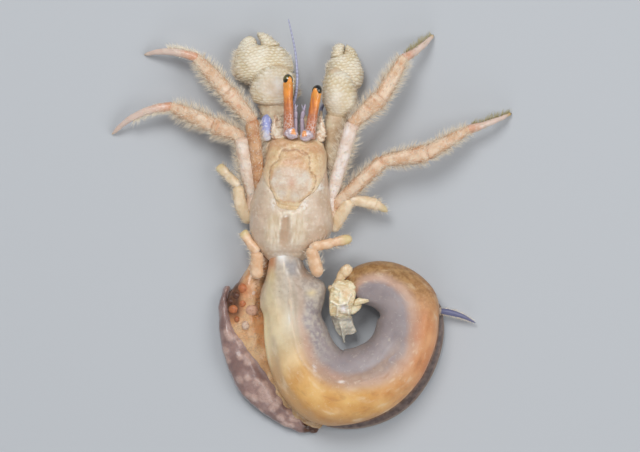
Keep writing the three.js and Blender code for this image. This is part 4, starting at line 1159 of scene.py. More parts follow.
def makePouch(finishes):
    facts = pouch
    turn = np.random.default_rng(11)
    shape, flesh = pouchShape(facts["rows"]), pouchShape(facts["flesh"])
    rise, riseFrom, riseTo = facts["frontRise"]
    flesh["path"] = [
        (x, y, z + rise * max(0, (riseFrom - y) / (riseFrom - riseTo))) for x, y, z in flesh["path"]]
    seatT = turn.uniform(0.30, 0.84, facts["eggs"])
    seatAngle = np.radians(turn.uniform(50, 160, facts["eggs"]))
    seats, _, _ = surface(shape, seatT, seatAngle)
    size = turn.uniform(*facts["eggSize"], facts["eggs"])

    def sculpt(t, angle, point):
        egg = np.zeros(len(t))
        for seat, radius in zip(seats, size):
            egg = np.maximum(egg, np.exp(-1.6 * (np.sum((point - seat) ** 2, axis=1) / radius ** 2) ** 1.5))
        side = np.cos(angle)
        top = smooth(np.sin(angle), 0.0, 0.4)
        inner = hump(side, 0.85, 0.14) * top  # the loose inner margin
        push = facts["eggHeight"] * egg * top + 0.12 * inner
        push += 0.10 * lumps(point, 2.2, 12) + 0.04 * lumps(point, 0.8, 13)
        edge = np.clip(smooth(np.abs(side), 0.90, 0.99) + 0.8 * inner, 0, 1)
        dark = smooth(point[:, 0], 1.9, 1.3) * smooth(point[:, 0], -2.4, -1.6)
        return push, {"egg": egg * top, "edge": edge, "dark": dark}

    def fleshSculpt(t, angle, point):
        dark = smooth(point[:, 0], 10.3, 11.5) * smooth(point[:, 1], 6.9, 8.2)
        dark *= 1 - smooth(point[:, 1], 12.4, 14.0)
        folds = np.sin(angle * 9 + 4 * lumps(point, 4.0, 16)) * smooth(t, 0.35, 0.6)
        return 0.14 * lumps(point, 2.4, 14) + 0.05 * lumps(point, 0.9, 15) + 0.025 * folds, {
            "dark": 0.9 * dark, "peach": 1 - smooth(t, 0.4, 0.8),
            "glow": np.clip(spots(point, facts["glow"]), 0, 1)}

    skin = makeTube("broodPouch", shape, 110, 230, sculpt, crowd=0.3, flesh=0.0, glow=0.0)
    closeUp(skin, finishes["pouch"], "pouch_skin", "brood_pouch")
    # Loose eggs at the pouch's mouth, one bead modelled and the rest copied from it.
    deselect()
    bpy.ops.mesh.primitive_ico_sphere_add(subdivisions=3, radius=1)
    bead = bpy.context.object
    bead.name = "eggBead"
    form = corners(bead)
    beads = []
    bedX, bedHalf, bedTall = facts["bed"]
    for number, (x, y, radius, tone) in enumerate(facts["beads"]):
        over = bedTall + bedTall * math.sqrt(max(1 - ((x - bedX) / bedHalf) ** 2, 0))
        seat = np.array([x, y, over - radius * facts["sunk"]])
        copy = bpy.data.objects.new(f"egg{number}", bead.data.copy())
        bpy.context.scene.collection.objects.link(copy)
        stretch = 1 + turn.uniform(-0.12, 0.12, 3)
        setCorners(copy, form * radius * stretch * (1 + 0.05 * lumps(form, 1.2, number))[:, None] + seat)
        note(copy, tone=tone)
        beads.append(copy)
    bpy.data.objects.remove(bead)
    eggs = join("eggMass", beads)
    closeUp(eggs, finishes["egg"], "eggs", "egg_mass")
    bridge = makeTube("pouchFlesh", flesh, 90, 200, fleshSculpt, crowd=0.3, edge=0.0, egg=0.0, flesh=1.0)
    closeUp(bridge, finishes["pouch"], "pouch_skin")
    return flesh


# The feather-like swimmeret on the outer side of the coil: a bent shaft, which gets fine side hairs.
featherShaft = {
    "path": [(-18.3, 12.3, 2.2), (-20.2, 12.6, 2.0), (-22.2, 13.2, 1.6), (-24.2, 14.2, 1.0)],
    "sizes": [(0, 0.34, 0.30), (0.3, 0.46, 0.2), (0.7, 0.3, 0.15), (1, 0.08, 0.06)], "round": (0.05, 0.05),
}


def makeFeather(finishes):
    feather = makeTube("pleopodFeather", featherShaft, 20, 40, ring=0.0, pale=0.0)
    closeUp(feather, finishes["feeler"], "pouch_skin", "pleopod_left")


tail = {
    "ridges": [
        [(-2.6, 10.9), (-3.6, 11.4), (-4.8, 11.1), (-5.5, 9.8)], [(-3.6, 11.3), (-3.5, 12.9)],
        [(-4.9, 11.2), (-5.1, 12.8)], [(-3.2, 8.8), (-3.9, 9.6), (-3.9, 11.2)]],
    "pit": (-4.45, 11.95), "hollow": (-4.9, 9.7),
    # Telson: near edge, then the far edge with its two lobes, notch and spike.
    "telsonTop": [(-2.4, 12.9), (-4.0, 13.1), (-5.6, 13.1)],
    "telsonEnd": [
        (-2.85, 14.3), (-3.25, 15.3), (-3.75, 16.0), (-4.25, 16.35), (-4.49, 17.25), (-4.6, 16.3),
        (-4.75, 15.95), (-5.3, 15.92), (-5.95, 15.82), (-6.4, 15.5), (-6.1, 14.8)],
    "telsonHeight": (4.0, 2.6), "telsonThick": 0.22, "telsonPleats": 5,
    "ridgeHeight": 0.26, "pitDepth": 0.22, "hollowDepth": 0.16, "rimHeight": 0.12,
}
plateForm = {
    "path": [(-4.1, 7.9, 4.6), (-4.3, 9.4, 5.0), (-4.0, 11.3, 4.8), (-3.95, 13.1, 4.1)],
    "sizes": [(0, 1.3, 0.8), (0.3, 1.95, 1.1), (0.65, 1.75, 1.0), (0.85, 1.6, 0.8), (1, 1.5, 0.5)],
    "round": (0.14, 0.06), "power": 2.8,
}
uropods = {  # side: name, form, sides, rings, share of the pale and of the peach finish
    "Left": [
        ("uropodBlade", {
            "path": [(-5.0, 12.0, 4.3), (-5.9, 11.6, 4.5), (-7.0, 10.9, 4.5)],
            "sizes": [(0, 0.9, 0.5), (0.4, 1.05, 0.55), (0.8, 0.75, 0.45), (1, 0.4, 0.3)],
            "round": (0.1, 0.2)}, 40, 40, 0.0, 0.0),
        ("uropodHorn", {
            "path": [(-5.7, 11.3, 4.7), (-7.0, 10.85, 4.95), (-7.9, 10.65, 5.1), (-8.8, 10.55, 5.15)],
            "sizes": [(0, 0.6, 0.45), (0.35, 0.5, 0.38), (0.7, 0.36, 0.3), (1, 0.14, 0.12)],
            "round": (0.1, 0.08)}, 30, 40, 0.0, 0.0),
        ("uropodStub", {
            "path": [(-5.1, 11.2, 4.8), (-5.9, 10.5, 4.9)],
            "sizes": [(0, 0.5, 0.4), (1, 0.45, 0.35)], "round": (0.3, 0.4)}, 24, 20, 0.2, 0.0),
    ],
    "Right": [
        ("uropodRamus", {
            "path": [(-3.1, 9.3, 3.8), (-3.9, 7.6, 4.1), (-4.7, 6.4, 4.4), (-5.5, 5.7, 4.5)],
            "sizes": [(0, 0.6, 0.45), (0.3, 0.66, 0.5), (0.75, 0.82, 0.55), (1, 0.66, 0.45)],
            "round": (0.1, 0.16)}, 40, 46, 0.0, 0.75),
        ("uropodLobe", {
            "path": [(-3.2, 9.7, 4.2), (-2.6, 9.0, 4.2), (-2.65, 8.5, 4.1)],
            "sizes": [(0, 0.4, 0.35), (0.5, 0.46, 0.4), (1, 0.36, 0.3)],
            "round": (0.2, 0.3)}, 24, 24, 0.0, 0.5),
    ],
}


def makeTail(finishes):
    facts = tail

    def near(point, line):
        return lineDistance(point[:, 0], point[:, 1], line)

    def plateSculpt(t, angle, point):
        top = smooth(np.sin(angle), 0.0, 0.4)
        ridge = np.max([hump(near(point, line), 0, 0.17) for line in facts["ridges"]], axis=0)
        pit = np.exp(-np.sum((point[:, :2] - facts["pit"]) ** 2, axis=1) / 0.36)
        hollow = np.exp(-np.sum((point[:, :2] - facts["hollow"]) ** 2, axis=1) / 0.7)
        rim = hump(np.cos(angle), 0.86, 0.12) + hump(np.cos(angle), -0.86, 0.12)
        push = facts["ridgeHeight"] * ridge - facts["pitDepth"] * pit - facts["hollowDepth"] * hollow
        push += facts["rimHeight"] * rim + 0.10 * lumps(point, 1.0, 21) + 0.06 * lumps(point, 0.4, 22)
        return push * top, {"crease": ridge * top, "pale": pit * top, "peach": hollow * top}

    plate = makeTube("tailPlate", plateForm, 96, 100, plateSculpt, glassy=0.0)
    closeUp(plate, finishes["tail"], "tail_shell", "tail_plate")

    def telsonPlace(across, level):
        top, end = (
            np.column_stack([np.linspace(0, 1, len(facts[key])), facts[key]])
            for key in ("telsonTop", "telsonEnd"))
        share = across / 2 + 0.5
        firsts = np.column_stack([np.interp(share, top[:, 0], top[:, column]) for column in (1, 2)])
        lasts = np.column_stack([np.interp(share, end[:, 0], end[:, column]) for column in (1, 2)])
        flat = firsts + (lasts - firsts) * level[:, None]
        high, low = facts["telsonHeight"]
        pleats = np.cos(share * math.pi * facts["telsonPleats"])
        folds = 0.12 * pleats * smooth(level, 0.1, 0.5) - 0.35 * across ** 2 + 0.16 * hump(level, 0.12, 0.08)
        place = np.column_stack([flat, high + (low - high) * level + folds])
        place[:, 2] += 0.06 * lumps(place, 0.7, 23)
        crease = 0.3 * smooth(pleats, 0.6, 1.0) + 0.5 * hump(level, 0.1, 0.08)
        return place, {"crease": crease, "glassy": smooth(level, 0.0, 0.2), "pale": 0.0, "peach": 0.0}

    telson = makeSheet("telsonLobes", 70, 40, telsonPlace, facts["telsonThick"])
    closeUp(telson, finishes["tail"], "tail_shell", "telson")

    def rasp(t, angle, point):
        grain = np.clip(lumps(point, 0.35, 24), 0, 1)
        return 0.07 * grain + 0.06 * lumps(point, 1.0, 25), {"crease": grain * 0.4}

    for side, parts in uropods.items():
        made = [makeTube(name, form, sides, rings, rasp, glassy=0.0, pale=pale, peach=peach)
                for name, form, sides, rings, pale, peach in parts]
        closeUp(join("uropod" + side, made), finishes["tail"], "tail_shell", "uropod_" + side.lower())


head = {
    "eyes": [
        {"side": "left", "lean": 1, "root": (3.69, -13.8, 7.0), "length": 8.05, "heading": 1, "pitch": 10},
        {"side": "right", "lean": -1, "root": (0.73, -13.5, 7.0), "length": 6.8, "heading": -10, "pitch": 4},
    ],
    "stalkSizes": [
        (0, 0.95, 0.85), (0.1, 0.84, 0.8), (0.3, 0.76, 0.76), (0.65, 0.7068, 0.684), (0.9, 0.7448, 0.7144),
        (1, 0.7296, 0.6992)],
    # The stalk's front lobe lies over the cornea: reach past the tip, then aside and up.
    "lobe": [(-1.1, 0.0, 0.228), (0.0, 0.12, 0.3344), (0.62, 0.26, 0.4712)],
    "lobeSizes": [(0, 0.60, 0.46), (0.5, 0.52, 0.42), (0.8, 0.40, 0.32), (1, 0.28, 0.22)],
    "cornea": (-0.50, 1.0), "corneaSizes": [(0, 0.66, 0.64), (0.5, 0.77, 0.74), (1, 0.78, 0.74)],
    # The rounded scale at the stalk's root: its place from the root, its turn, then reach and pitch along it.
    "scaleAt": (0.25, 0.42, 7.75), "scaleTurn": -14, "scalePath": [(-0.2, 6), (0.7, 8), (1.5, 4)],
    "scaleSizes": [(0, 0.86, 0.42), (0.35, 1.04, 0.48), (0.7, 0.78, 0.4), (1, 0.30, 0.2)],
}


def makeEyes(finishes):
    facts = head
    for eye in facts["eyes"]:
        side, lean, heading, pitch = eye["side"], eye["lean"], eye["heading"], eye["pitch"]
        root = np.array(eye["root"])
        tip = step(root, eye["length"], heading, pitch)

        def grain(t, angle, point):
            return 0.03 * lumps(point, 1.3, 31) + 0.012 * lumps(point, 0.4, 32)

        stalk = {"path": [root - (0, -0.3, 0.1), (root + tip) / 2, tip], "sizes": facts["stalkSizes"],
                 "power": 2.0, "round": (0.04, 0.06), "blunt": 0.5}
        path = [
            step(tip, reach, heading, pitch) + (-aside * lean, 0, up) for reach, aside, up in facts["lobe"]]
        lobe = {"path": path, "sizes": facts["lobeSizes"], "round": (0.1, 0.3), "power": 2.0}
        parts = [
            makeTube("stalkRod", stalk, 48, 90, grain),
            makeTube("stalkLobe", lobe, 32, 30, along=1.0, top=1.0)]
        closeUp(join(f"eyestalk_{side}_shell", parts), finishes["stalk"], "eyestalk", f"eyestalk_{side}")
        path = [step(tip, reach, heading, pitch) for reach in facts["cornea"]]
        lens = {"path": path, "sizes": facts["corneaSizes"], "round": (0.3, 0.66), "power": 2.0}
        closeUp(makeTube(f"cornea_{side}_lens", lens, 52, 44), finishes["cornea"], "cornea", f"cornea_{side}")
        aside, back, height = facts["scaleAt"]
        scaleRoot = np.array([root[0] - lean * aside, root[1] + back, height])
        path = [step(scaleRoot, reach, lean * facts["scaleTurn"], up) for reach, up in facts["scalePath"]]
        form = {"path": path, "sizes": facts["scaleSizes"], "round": (0.45, 0.2), "power": 2.0}

        def scoop(t, angle, point):
            ruffle = np.sin(t * 24 + 5 * angle) * smooth(np.abs(np.cos(angle)), 0.4, 0.9)
            rim = hump(np.abs(np.cos(angle)), 0.8, 0.2) * smooth(np.sin(angle), 0, 0.3)
            return 0.035 * ruffle + 0.05 * rim + 0.05 * lumps(point, 0.6, 33), {
                "across": np.cos(angle) + 0.25 * lean}

        scale = makeTube(f"ocular_scale_{side}_plate", form, 52, 46, scoop)
        closeUp(scale, finishes["scale"], "eyestalk", f"ocular_scale_{side}")


feelers = [
    {"side": "left", "lean": 1, "base": (5.3, -13.1, 5.2), "knee": (5.3, -16.5, 5.3),
     "lash": [
         (5.1, -16.6, 5.3), (3.2, -18.1, 5.8), (2.5, -21.4, 6.0), (2.75, -26.0, 5.2), (3.8, -31.1, 4.4)]},
    {"side": "right", "lean": -1, "base": (-0.6, -12.7, 5.2), "knee": (-0.7, -16.3, 5.2),
     "lash": [
         (-0.9, -16.4, 5.0), (-1.3, -18.2, 3.0), (-2.6, -19.0, 0.9), (-3.5, -17.4, 0.36),
         (-3.0, -11.5, 0.36)]},
]
# Rows of share, half width and half height; the domes of the two ends; sides, rings.
feelerParts = {
    "feelerBlock": ([(0, 1.0, 1.0), (0.6, 1.05, 1.0), (1, 0.85, 0.8)], (0.2, 0.2), 36, 30),
    "feelerKnee": ([(0, 0.66, 0.7), (0.7, 0.72, 0.7), (1, 0.55, 0.55)], (0.2, 0.25), 32, 26),
    "feelerSocket": ([(0, 0.44, 0.44), (1, 0.36, 0.36)], (0.2, 0.3), 20, 14),
    "feelerScale": ([(0, 0.42, 0.36), (0.4, 0.46, 0.34), (1, 0.1, 0.1)], (0.2, 0.1), 24, 30),
}
feelerSpines = 7
lashForm = {
    "sizes": [(0, 0.30, 0.30), (0.12, 0.24, 0.24), (0.6, 0.17, 0.17), (1, 0.07, 0.07)], "power": 2.0,
    "round": (0.01, 0.01)}
lashRings = 34
# Root, bend and tip: x, how far aside, y, z.
antennuleKnots = [(2.2, 0.55, -13.7, 5.9), (2.25, 0.5, -16.4, 6.3), (2.0, 0.75, -18.4, 6.7)]
antennuleParts = {  # as the feeler's parts, then the finish's ring and pale shares
    "antennuleRod": ([(0, 0.36, 0.36), (0.85, 0.3, 0.3), (1, 0.26, 0.26)], (0.1, 0.1), 20, 26, 0.4, 1.0),
    "antennuleJoint": ([(0, 0.3, 0.3), (0.7, 0.34, 0.3), (1, 0.22, 0.22)], (0.15, 0.15), 18, 18, 0.4, 0.8),
    "antennuleBrush": ([(0, 0.24, 0.24), (0.5, 0.2, 0.26), (1, 0.05, 0.05)], (0.1, 0.1), 16, 18, 0.9, 0.5),
    "antennuleWhip": ([(0, 0.13, 0.13), (1, 0.04, 0.04)], (0.1, 0.1), 10, 12, 0.9, 0.5),
}


def makeFeelers(finishes, coat):
    for feeler in feelers:
        side, lean = feeler["side"], feeler["lean"]
        base, knee = np.array(feeler["base"]), np.array(feeler["knee"])
        middle = (base + knee) / 2

        def knobbly(t, angle, point):
            return 0.06 * lumps(point, 0.9, 41) + 0.05 * lumps(point, 0.4, 42)

        paths = {
            "feelerBlock": [base, middle + (0, -0.2, 0.2)],
            "feelerKnee": [middle, knee + (0, 0.5, 0.1)],
            "feelerSocket": [knee + (0, 0.8, 0), knee + (0, -0.35, 0)],
            # The spiny scale at the outer side of the feeler's base.
            "feelerScale": [
                middle + (lean * 0.55, 1.2, 0.5), middle + (lean * 0.62, -0.2, 0.7),
                middle + (lean * 0.35, -1.9, 0.7)],
        }
        parts = []
        for name, path in paths.items():
            sizes, domes, sides, rows = feelerParts[name]
            parts.append(makeTube(name, {"path": path, "sizes": sizes, "round": domes}, sides, rows, knobbly))
        for number in range(feelerSpines):
            reach = number / (feelerSpines - 1)
            for way in (1, -1):
                foot = middle + (
                    lean * (0.6 - 0.25 * reach) + way * 0.28 * (1 - reach * 0.5), 1.0 - 2.7 * reach, 0.72)
                heading = lean * (12 - 8 * reach) + way * (48 - 30 * reach)
                parts.append(makeTube("feelerSpine", {
                    "path": [foot, step(foot, 0.62 - 0.2 * reach, heading, 14)],
                    "sizes": [(0, 0.13, 0.13), (1, 0.02, 0.02)], "round": (0.1, 0.1)}, 8, 8))
        closeUp(
            join(f"antenna_base_{side}_blocks", parts), finishes["base"], "body_wall",
            f"antenna_base_{side}")
        stem = {"path": [base, middle, knee], "sizes": [(0, 0.9, 0.9), (1, 0.6, 0.6)], "round": (0.1, 0.1)}
        coat.grow(
            stem, 420, (30, 90, 150), (0.3, 0.95), spread=0.6, lean=0.7, tone=0.95, thick=0.022, wild=0.4)

        def rings(t, angle, point):
            ring = np.abs(np.sin(t * math.pi * lashRings)) ** 0.5
            return 0.03 * ring, {"ring": ring * smooth(t, 0, 0.3)}

        lash = {"path": feeler["lash"], **lashForm}
        whip = makeTube(f"antenna_{side}_lash", lash, 12, 240, rings, crowd=0.1, pale=0.0)
        closeUp(whip, finishes["feeler"], "feeler", f"antenna_{side}")
        root, bend, tip = (np.array([x + lean * aside, y, z]) for x, aside, y, z in antennuleKnots)
        elbow = (bend + tip) / 2
        paths = [
            [root, bend], [bend + (0, 0.2, 0), elbow], [elbow + (0, 0.1, 0), tip],
            [elbow, elbow + (-lean * 0.35, -0.9, -0.1)]]
        rods = []
        for path, (name, (sizes, domes, sides, rows, ring, pale)) in zip(paths, antennuleParts.items()):
            form = {"path": path, "sizes": sizes, "round": domes}
            rods.append(makeTube(name, form, sides, rows, ring=ring, pale=pale))
        closeUp(join(f"antennule_{side}_rods", rods), finishes["feeler"], "feeler", f"antennule_{side}")


# Hand: length, heading and pitch. Bald: the smooth middle of the wrist, its share of the length and its
# strength.
claws = [
    {"side": "left", "lean": 1, "wristLength": 6.0, "heel": (7.16, -21.0, 2.55),
     "hand": (8.0, 9, -3), "wristHalf": 3.65, "handHalf": 4.8, "handTall": 2.7, "cuff": True,
     "seed": 1.0, "outerAngle": 0, "fingerReach": 0.04, "wristScales": 1.0, "bald": (0.5, 0.9),
     "tanRoot": 0.6, "fringe": (700, (0.5, 1.2)),
     "wristPath": [(5.85, -18.2, 4.0), (5.75, -20.6, 4.35), (4.9, -24.25, 4.2)],
     "wristShape": [
         (0, 0.48, 0.6), (0.07, 0.70, 0.78), (0.16, 0.86, 0.92), (0.35, 0.98, 1.0), (0.6, 0.95, 1.0),
         (0.8, 0.76, 0.92), (0.92, 0.60, 0.8), (1, 0.44, 0.66)],
     "armPath": [(6.5, -8.3, 2.7), (6.4, -13.2, 3.3), (5.7, -16.8, 3.7), (5.6, -19.2, 3.9)],
     "armShape": [(0, 1.4, 1.2), (0.4, 1.7, 1.6), (0.8, 2.5, 1.9), (1, 2.5, 1.8)],
     # Share of the hand's length, reach to the outer and to the inner side in half widths, height.
     "palmShape": [
         (0, 0.50, 0.60, 0.7), (0.12, 0.70, 0.84, 0.92), (0.28, 0.88, 0.93, 1.0), (0.43, 0.91, 0.92, 1.0),
         (0.55, 0.86, 0.84, 0.95), (0.68, 0.78, 0.70, 0.84), (0.74, 0.74, 0.46, 0.78),
         (0.79, 0.70, 0.02, 0.68), (0.9, 0.58, -0.07, 0.5), (0.97, 0.46, -0.14, 0.4),
         (1.0, 0.36, -0.18, 0.3)],
     "fingerShape": [
         (0, -0.02, 0.66, 0.72), (0.2, -0.05, 0.61, 0.72), (0.5, -0.03, 0.46, 0.6), (0.8, 0.02, 0.31, 0.42),
         (1.0, 0.06, 0.14, 0.24)]},
    {"side": "right", "lean": -1, "wristLength": 7.3, "heel": (-4.63, -20.1, 2.35),
     "hand": (7.4, 0, -4), "wristHalf": 2.85, "handHalf": 2.95, "handTall": 2.45, "cuff": False,
     "seed": 4.0, "outerAngle": 180, "fingerReach": 0.015, "wristScales": 0.85, "bald": (0.35, 0.4),
     "tanRoot": 0.4, "fringe": (160, (0.15, 0.4)),
     "wristPath": [(-3.5, -16.3, 3.7), (-3.85, -19.4, 4.1), (-3.0, -23.7, 4.0)],
     "wristShape": [
         (0, 0.48, 0.55), (0.15, 0.62, 0.75), (0.35, 0.86, 0.95), (0.52, 0.89, 1.0), (0.7, 0.82, 1.0),
         (0.86, 0.68, 0.9), (1, 0.5, 0.7)],
     "armPath": [(-3.0, -8.3, 2.7), (-3.1, -12.9, 3.2), (-3.5, -17.4, 3.7)],
     "armShape": [(0, 1.4, 1.2), (0.5, 1.6, 1.6), (0.9, 1.7, 1.75), (1, 1.5, 1.6)],
     "palmShape": [
         (0, 0.78, 0.60, 0.7), (0.12, 0.88, 0.84, 0.92), (0.28, 0.92, 0.95, 1.0), (0.43, 0.93, 0.95, 1.0),
         (0.55, 0.85, 0.90, 0.95), (0.68, 0.71, 0.78, 0.84), (0.74, 0.64, 0.5, 0.78),
         (0.79, 0.62, 0.08, 0.68), (0.91, 0.42, 0.0, 0.5), (0.97, 0.20, -0.04, 0.36),
         (1.0, 0.12, -0.06, 0.26)],
     "fingerShape": [
         (0, -0.02, 0.76, 0.72), (0.3, -0.05, 0.70, 0.7), (0.68, -0.03, 0.62, 0.55),
         (0.87, -0.01, 0.54, 0.42), (1.0, 0.0, 0.36, 0.3)]},
]
ridges = {"pitch": 0.44, "scallop": 0.78, "height": 0.11, "steep": 0.82}
hinge, wristTall = 0.70, 2.4  # share of the hand's length, mm
# A blue and white lobe at the outer side of the left arm.
armCuff = {
    "path": [(7.05, -12.9, 4.9), (7.15, -14.6, 5.3), (6.95, -16.9, 5.2)],
    "sizes": [(0, 0.65, 0.7), (0.4, 0.85, 0.9), (0.8, 0.8, 0.8), (1, 0.5, 0.5)], "round": (0.15, 0.2),
}


def ridgeRows(along, across, seed):
    # Overlapping transverse scales: each row rises towards the finger tips and drops at a scalloped edge.
    wave = 0.35 * np.sin(across * 1.1 + 0.8 * np.sin(along * 0.9 + seed))
    wave += 0.16 * np.sin(across * 3.1 + along * 1.7)
    row = np.floor(along / ridges["pitch"] + wave)
    scallops = 0.38 * np.abs(np.sin(across * math.pi / ridges["scallop"] + row * 1.9 + seed))
    phase = along / ridges["pitch"] + wave - scallops
    share, steep = phase - np.floor(phase), ridges["steep"]
    return np.where(share < steep, share / steep, (1 - share) / (1 - steep)) ** 0.8


def makeClaws(finishes, coat):
    for claw in claws:
        side, lean = claw["side"], claw["lean"]
        heel = np.array(claw["heel"])
        tips = step(heel, *claw["hand"])
        half, tall, length = claw["handHalf"], claw["handTall"], claw["hand"][0]

        def scaly(strength, low=0.05, high=0.98, size=length, width=half):
            def sculpt(t, angle, point):
                girth = np.cos(angle) * width * np.maximum(np.sin(np.abs(angle)), 0.35) ** 0.3
                rows = ridgeRows(t * size, girth, claw["seed"])
                top = smooth(np.sin(angle), -0.35, 0.25)
                strong = top * smooth(t, low - 0.05, low + 0.05)
                strong *= (1 - smooth(t, high - 0.12, high + 0.06)) * strength
                push = ridges["height"] * (rows - 0.5) * strong
                push += 0.08 * lumps(point, 2.4, 51) + 0.02 * lumps(point, 0.5, 52)
                return push, {"ridge": 0.6 + (rows - 0.6) * strong}
            return sculpt

        def split(rows):
            # Reaches on the two sides as a half width and a sideways shift; the outer side is away from
            # the midline.
            sizes = [(t, (outer + inner) / 2 * half, height * tall) for t, outer, inner, height in rows]
            return sizes, [(t, (outer - inner) / 2 * half * lean) for t, outer, inner, _ in rows]

        sizes, shift = split(claw["palmShape"])
        palm = {"path": [heel, tips], "sizes": sizes, "shift": shift, "round": (0.26, 0.07), "power": 2.25}
        piece = makeTube(
            f"claw_{side}_palm_shell", palm, 200, 180, scaly(1.0, 0.0, 0.97), crowd=0.35, tan=0.0)
        closeUp(piece, finishes["claw"], "claw_shell", f"claw_{side}_palm")
        sizes, shift = split(claw["fingerShape"])
        path = [heel + (tips - heel) * hinge, tips + (tips - heel) * claw["fingerReach"]]
        finger = {"path": path, "sizes": sizes, "shift": shift, "round": (0.14, 0.2), "power": 2.2}
        piece = makeTube(
            f"claw_{side}_finger_shell", finger, 90, 64, scaly(0.8, 0.0, 0.95, length * 0.3, half * 0.4),
            crowd=0.4, tan=0.0)
        closeUp(piece, finishes["claw"], "claw_shell", f"claw_{side}_finger")
        wide = claw["wristHalf"]
        wrist = {"path": claw["wristPath"], "power": 2.2, "round": (0.08, 0.22), "blunt": 0.2,
                 "sizes": [(t, width * wide, height * wristTall) for t, width, height in claw["wristShape"]]}

        def wristSculpt(t, angle, point):
            push, extra = scaly(claw["wristScales"], 0.12, 0.99, claw["wristLength"], wide)(t, angle, point)
            middle, strength = claw["bald"]
            bald = hump(t, middle, 0.3) * hump(np.cos(angle), 0.1, 0.55) * strength
            ridge = extra["ridge"]
            push = push - ridges["height"] * (ridge - 0.6) * bald
            tan = claw["tanRoot"] * smooth(t, 0.20, 0.12) + 0.6 * smooth(t, 0.90, 0.96)
            return push, {"ridge": ridge + (0.72 - ridge) * bald, "bald": bald, "tan": tan}

        piece = makeTube(f"claw_{side}_wrist_shell", wrist, 170, 130, wristSculpt, crowd=0.4)
        closeUp(piece, finishes["claw"], "claw_shell", f"claw_{side}_wrist")
        arm = {"path": claw["armPath"], "power": 2.3, "round": (0.1, 0.1), "sizes": claw["armShape"]}

        def armSculpt(t, angle, point):
            lines = np.clip(np.sin(t * 46 + 1.5 * np.sin(angle * 2)), 0, 1) * smooth(np.sin(angle), -0.3, 0.3)
            return 0.04 * lines + 0.06 * lumps(point, 1.6, 53)

        parts = [makeTube(f"claw_{side}_arm_shell", arm, 60, 70, armSculpt, blue=0.0)]
        if claw["cuff"]:
            parts.append(makeTube(
                "armCuff", armCuff, 40, 44, lambda t, angle, point: 0.05 * lumps(point, 0.9, 54), blue=1.0))
        closeUp(join(f"claw_{side}_arm_shell", parts), finishes["arm"], "claw_shell", f"claw_{side}_arm")
        # Only the left hand has a full fringe on its outer side.
        outerAngle, (count, lengths) = claw["outerAngle"], claw["fringe"]
        coat.grow(palm, count, (outerAngle,), lengths, spread=0.4, lean=0.3, tone=0.6, span=(0.05, 0.75))
        coat.grow(
            palm, 260, (180 - outerAngle,), (0.25, 0.6), spread=0.35, lean=0.5, tone=0.7, span=(0.1, 0.65))
        coat.grow(wrist, 420, (0, 180), (0.35, 0.9), spread=0.4, lean=0.5, tone=0.5, span=(0.1, 0.9))
        coat.grow(arm, 420, (0, 180), (0.4, 0.9), spread=0.45, lean=0.6, tone=0.4, span=(0.25, 0.95))
        coat.grow(finger, 90, (180 - outerAngle, 90), (0.2, 0.45), spread=0.4, lean=0.7, tone=0.7)


segmentForms = {  # teeth: how many, and their height
    "merus": {
        "sizes": [
            (0, 0.80, 1.0), (0.12, 0.92, 1.2), (0.4, 1.02, 1.42), (0.8, 1.08, 1.48), (0.94, 1.06, 1.34),
            (1, 0.9, 1.1)],
        "lift": 0.5, "teeth": (12, 0.05), "hairs": 950},
    "carpus": {
        "sizes": [(0, 0.84, 0.92), (0.2, 0.98, 1.08), (0.55, 1.2, 1.3), (0.88, 1.36, 1.4), (1, 1.15, 1.2)],
        "lift": 0.0, "teeth": (9, 0.24), "hairs": 750},
    "propodus": {
        "sizes": [
            (0, 1.0, 1.08), (0.15, 1.16, 1.24), (0.4, 1.18, 1.22), (0.75, 0.96, 1.0), (1, 0.72, 0.76)],
        "lift": 0.0, "teeth": (12, 0.10), "hairs": 1000},
    "dactyl": {
        "sizes": [
            (0, 0.66, 0.74), (0.1, 0.68, 0.76), (0.3, 0.62, 0.68), (0.7, 0.46, 0.5), (0.92, 0.27, 0.28),
            (1, 0.09, 0.09)],
        "lift": 0.0, "teeth": (12, 0.0), "hairs": 380},
}
segmentEnds = {"power": 2.5, "round": (0.05, 0.05), "blunt": 0.68}
tipEnds = {"power": 2.0, "round": (0.05, 0.03), "blunt": 0.1}
hipForm = {"sizes": [(0, 1.0, 1.2), (0.6, 1.0, 1.15), (1, 0.85, 1.0)], "round": (0.1, 0.12)}
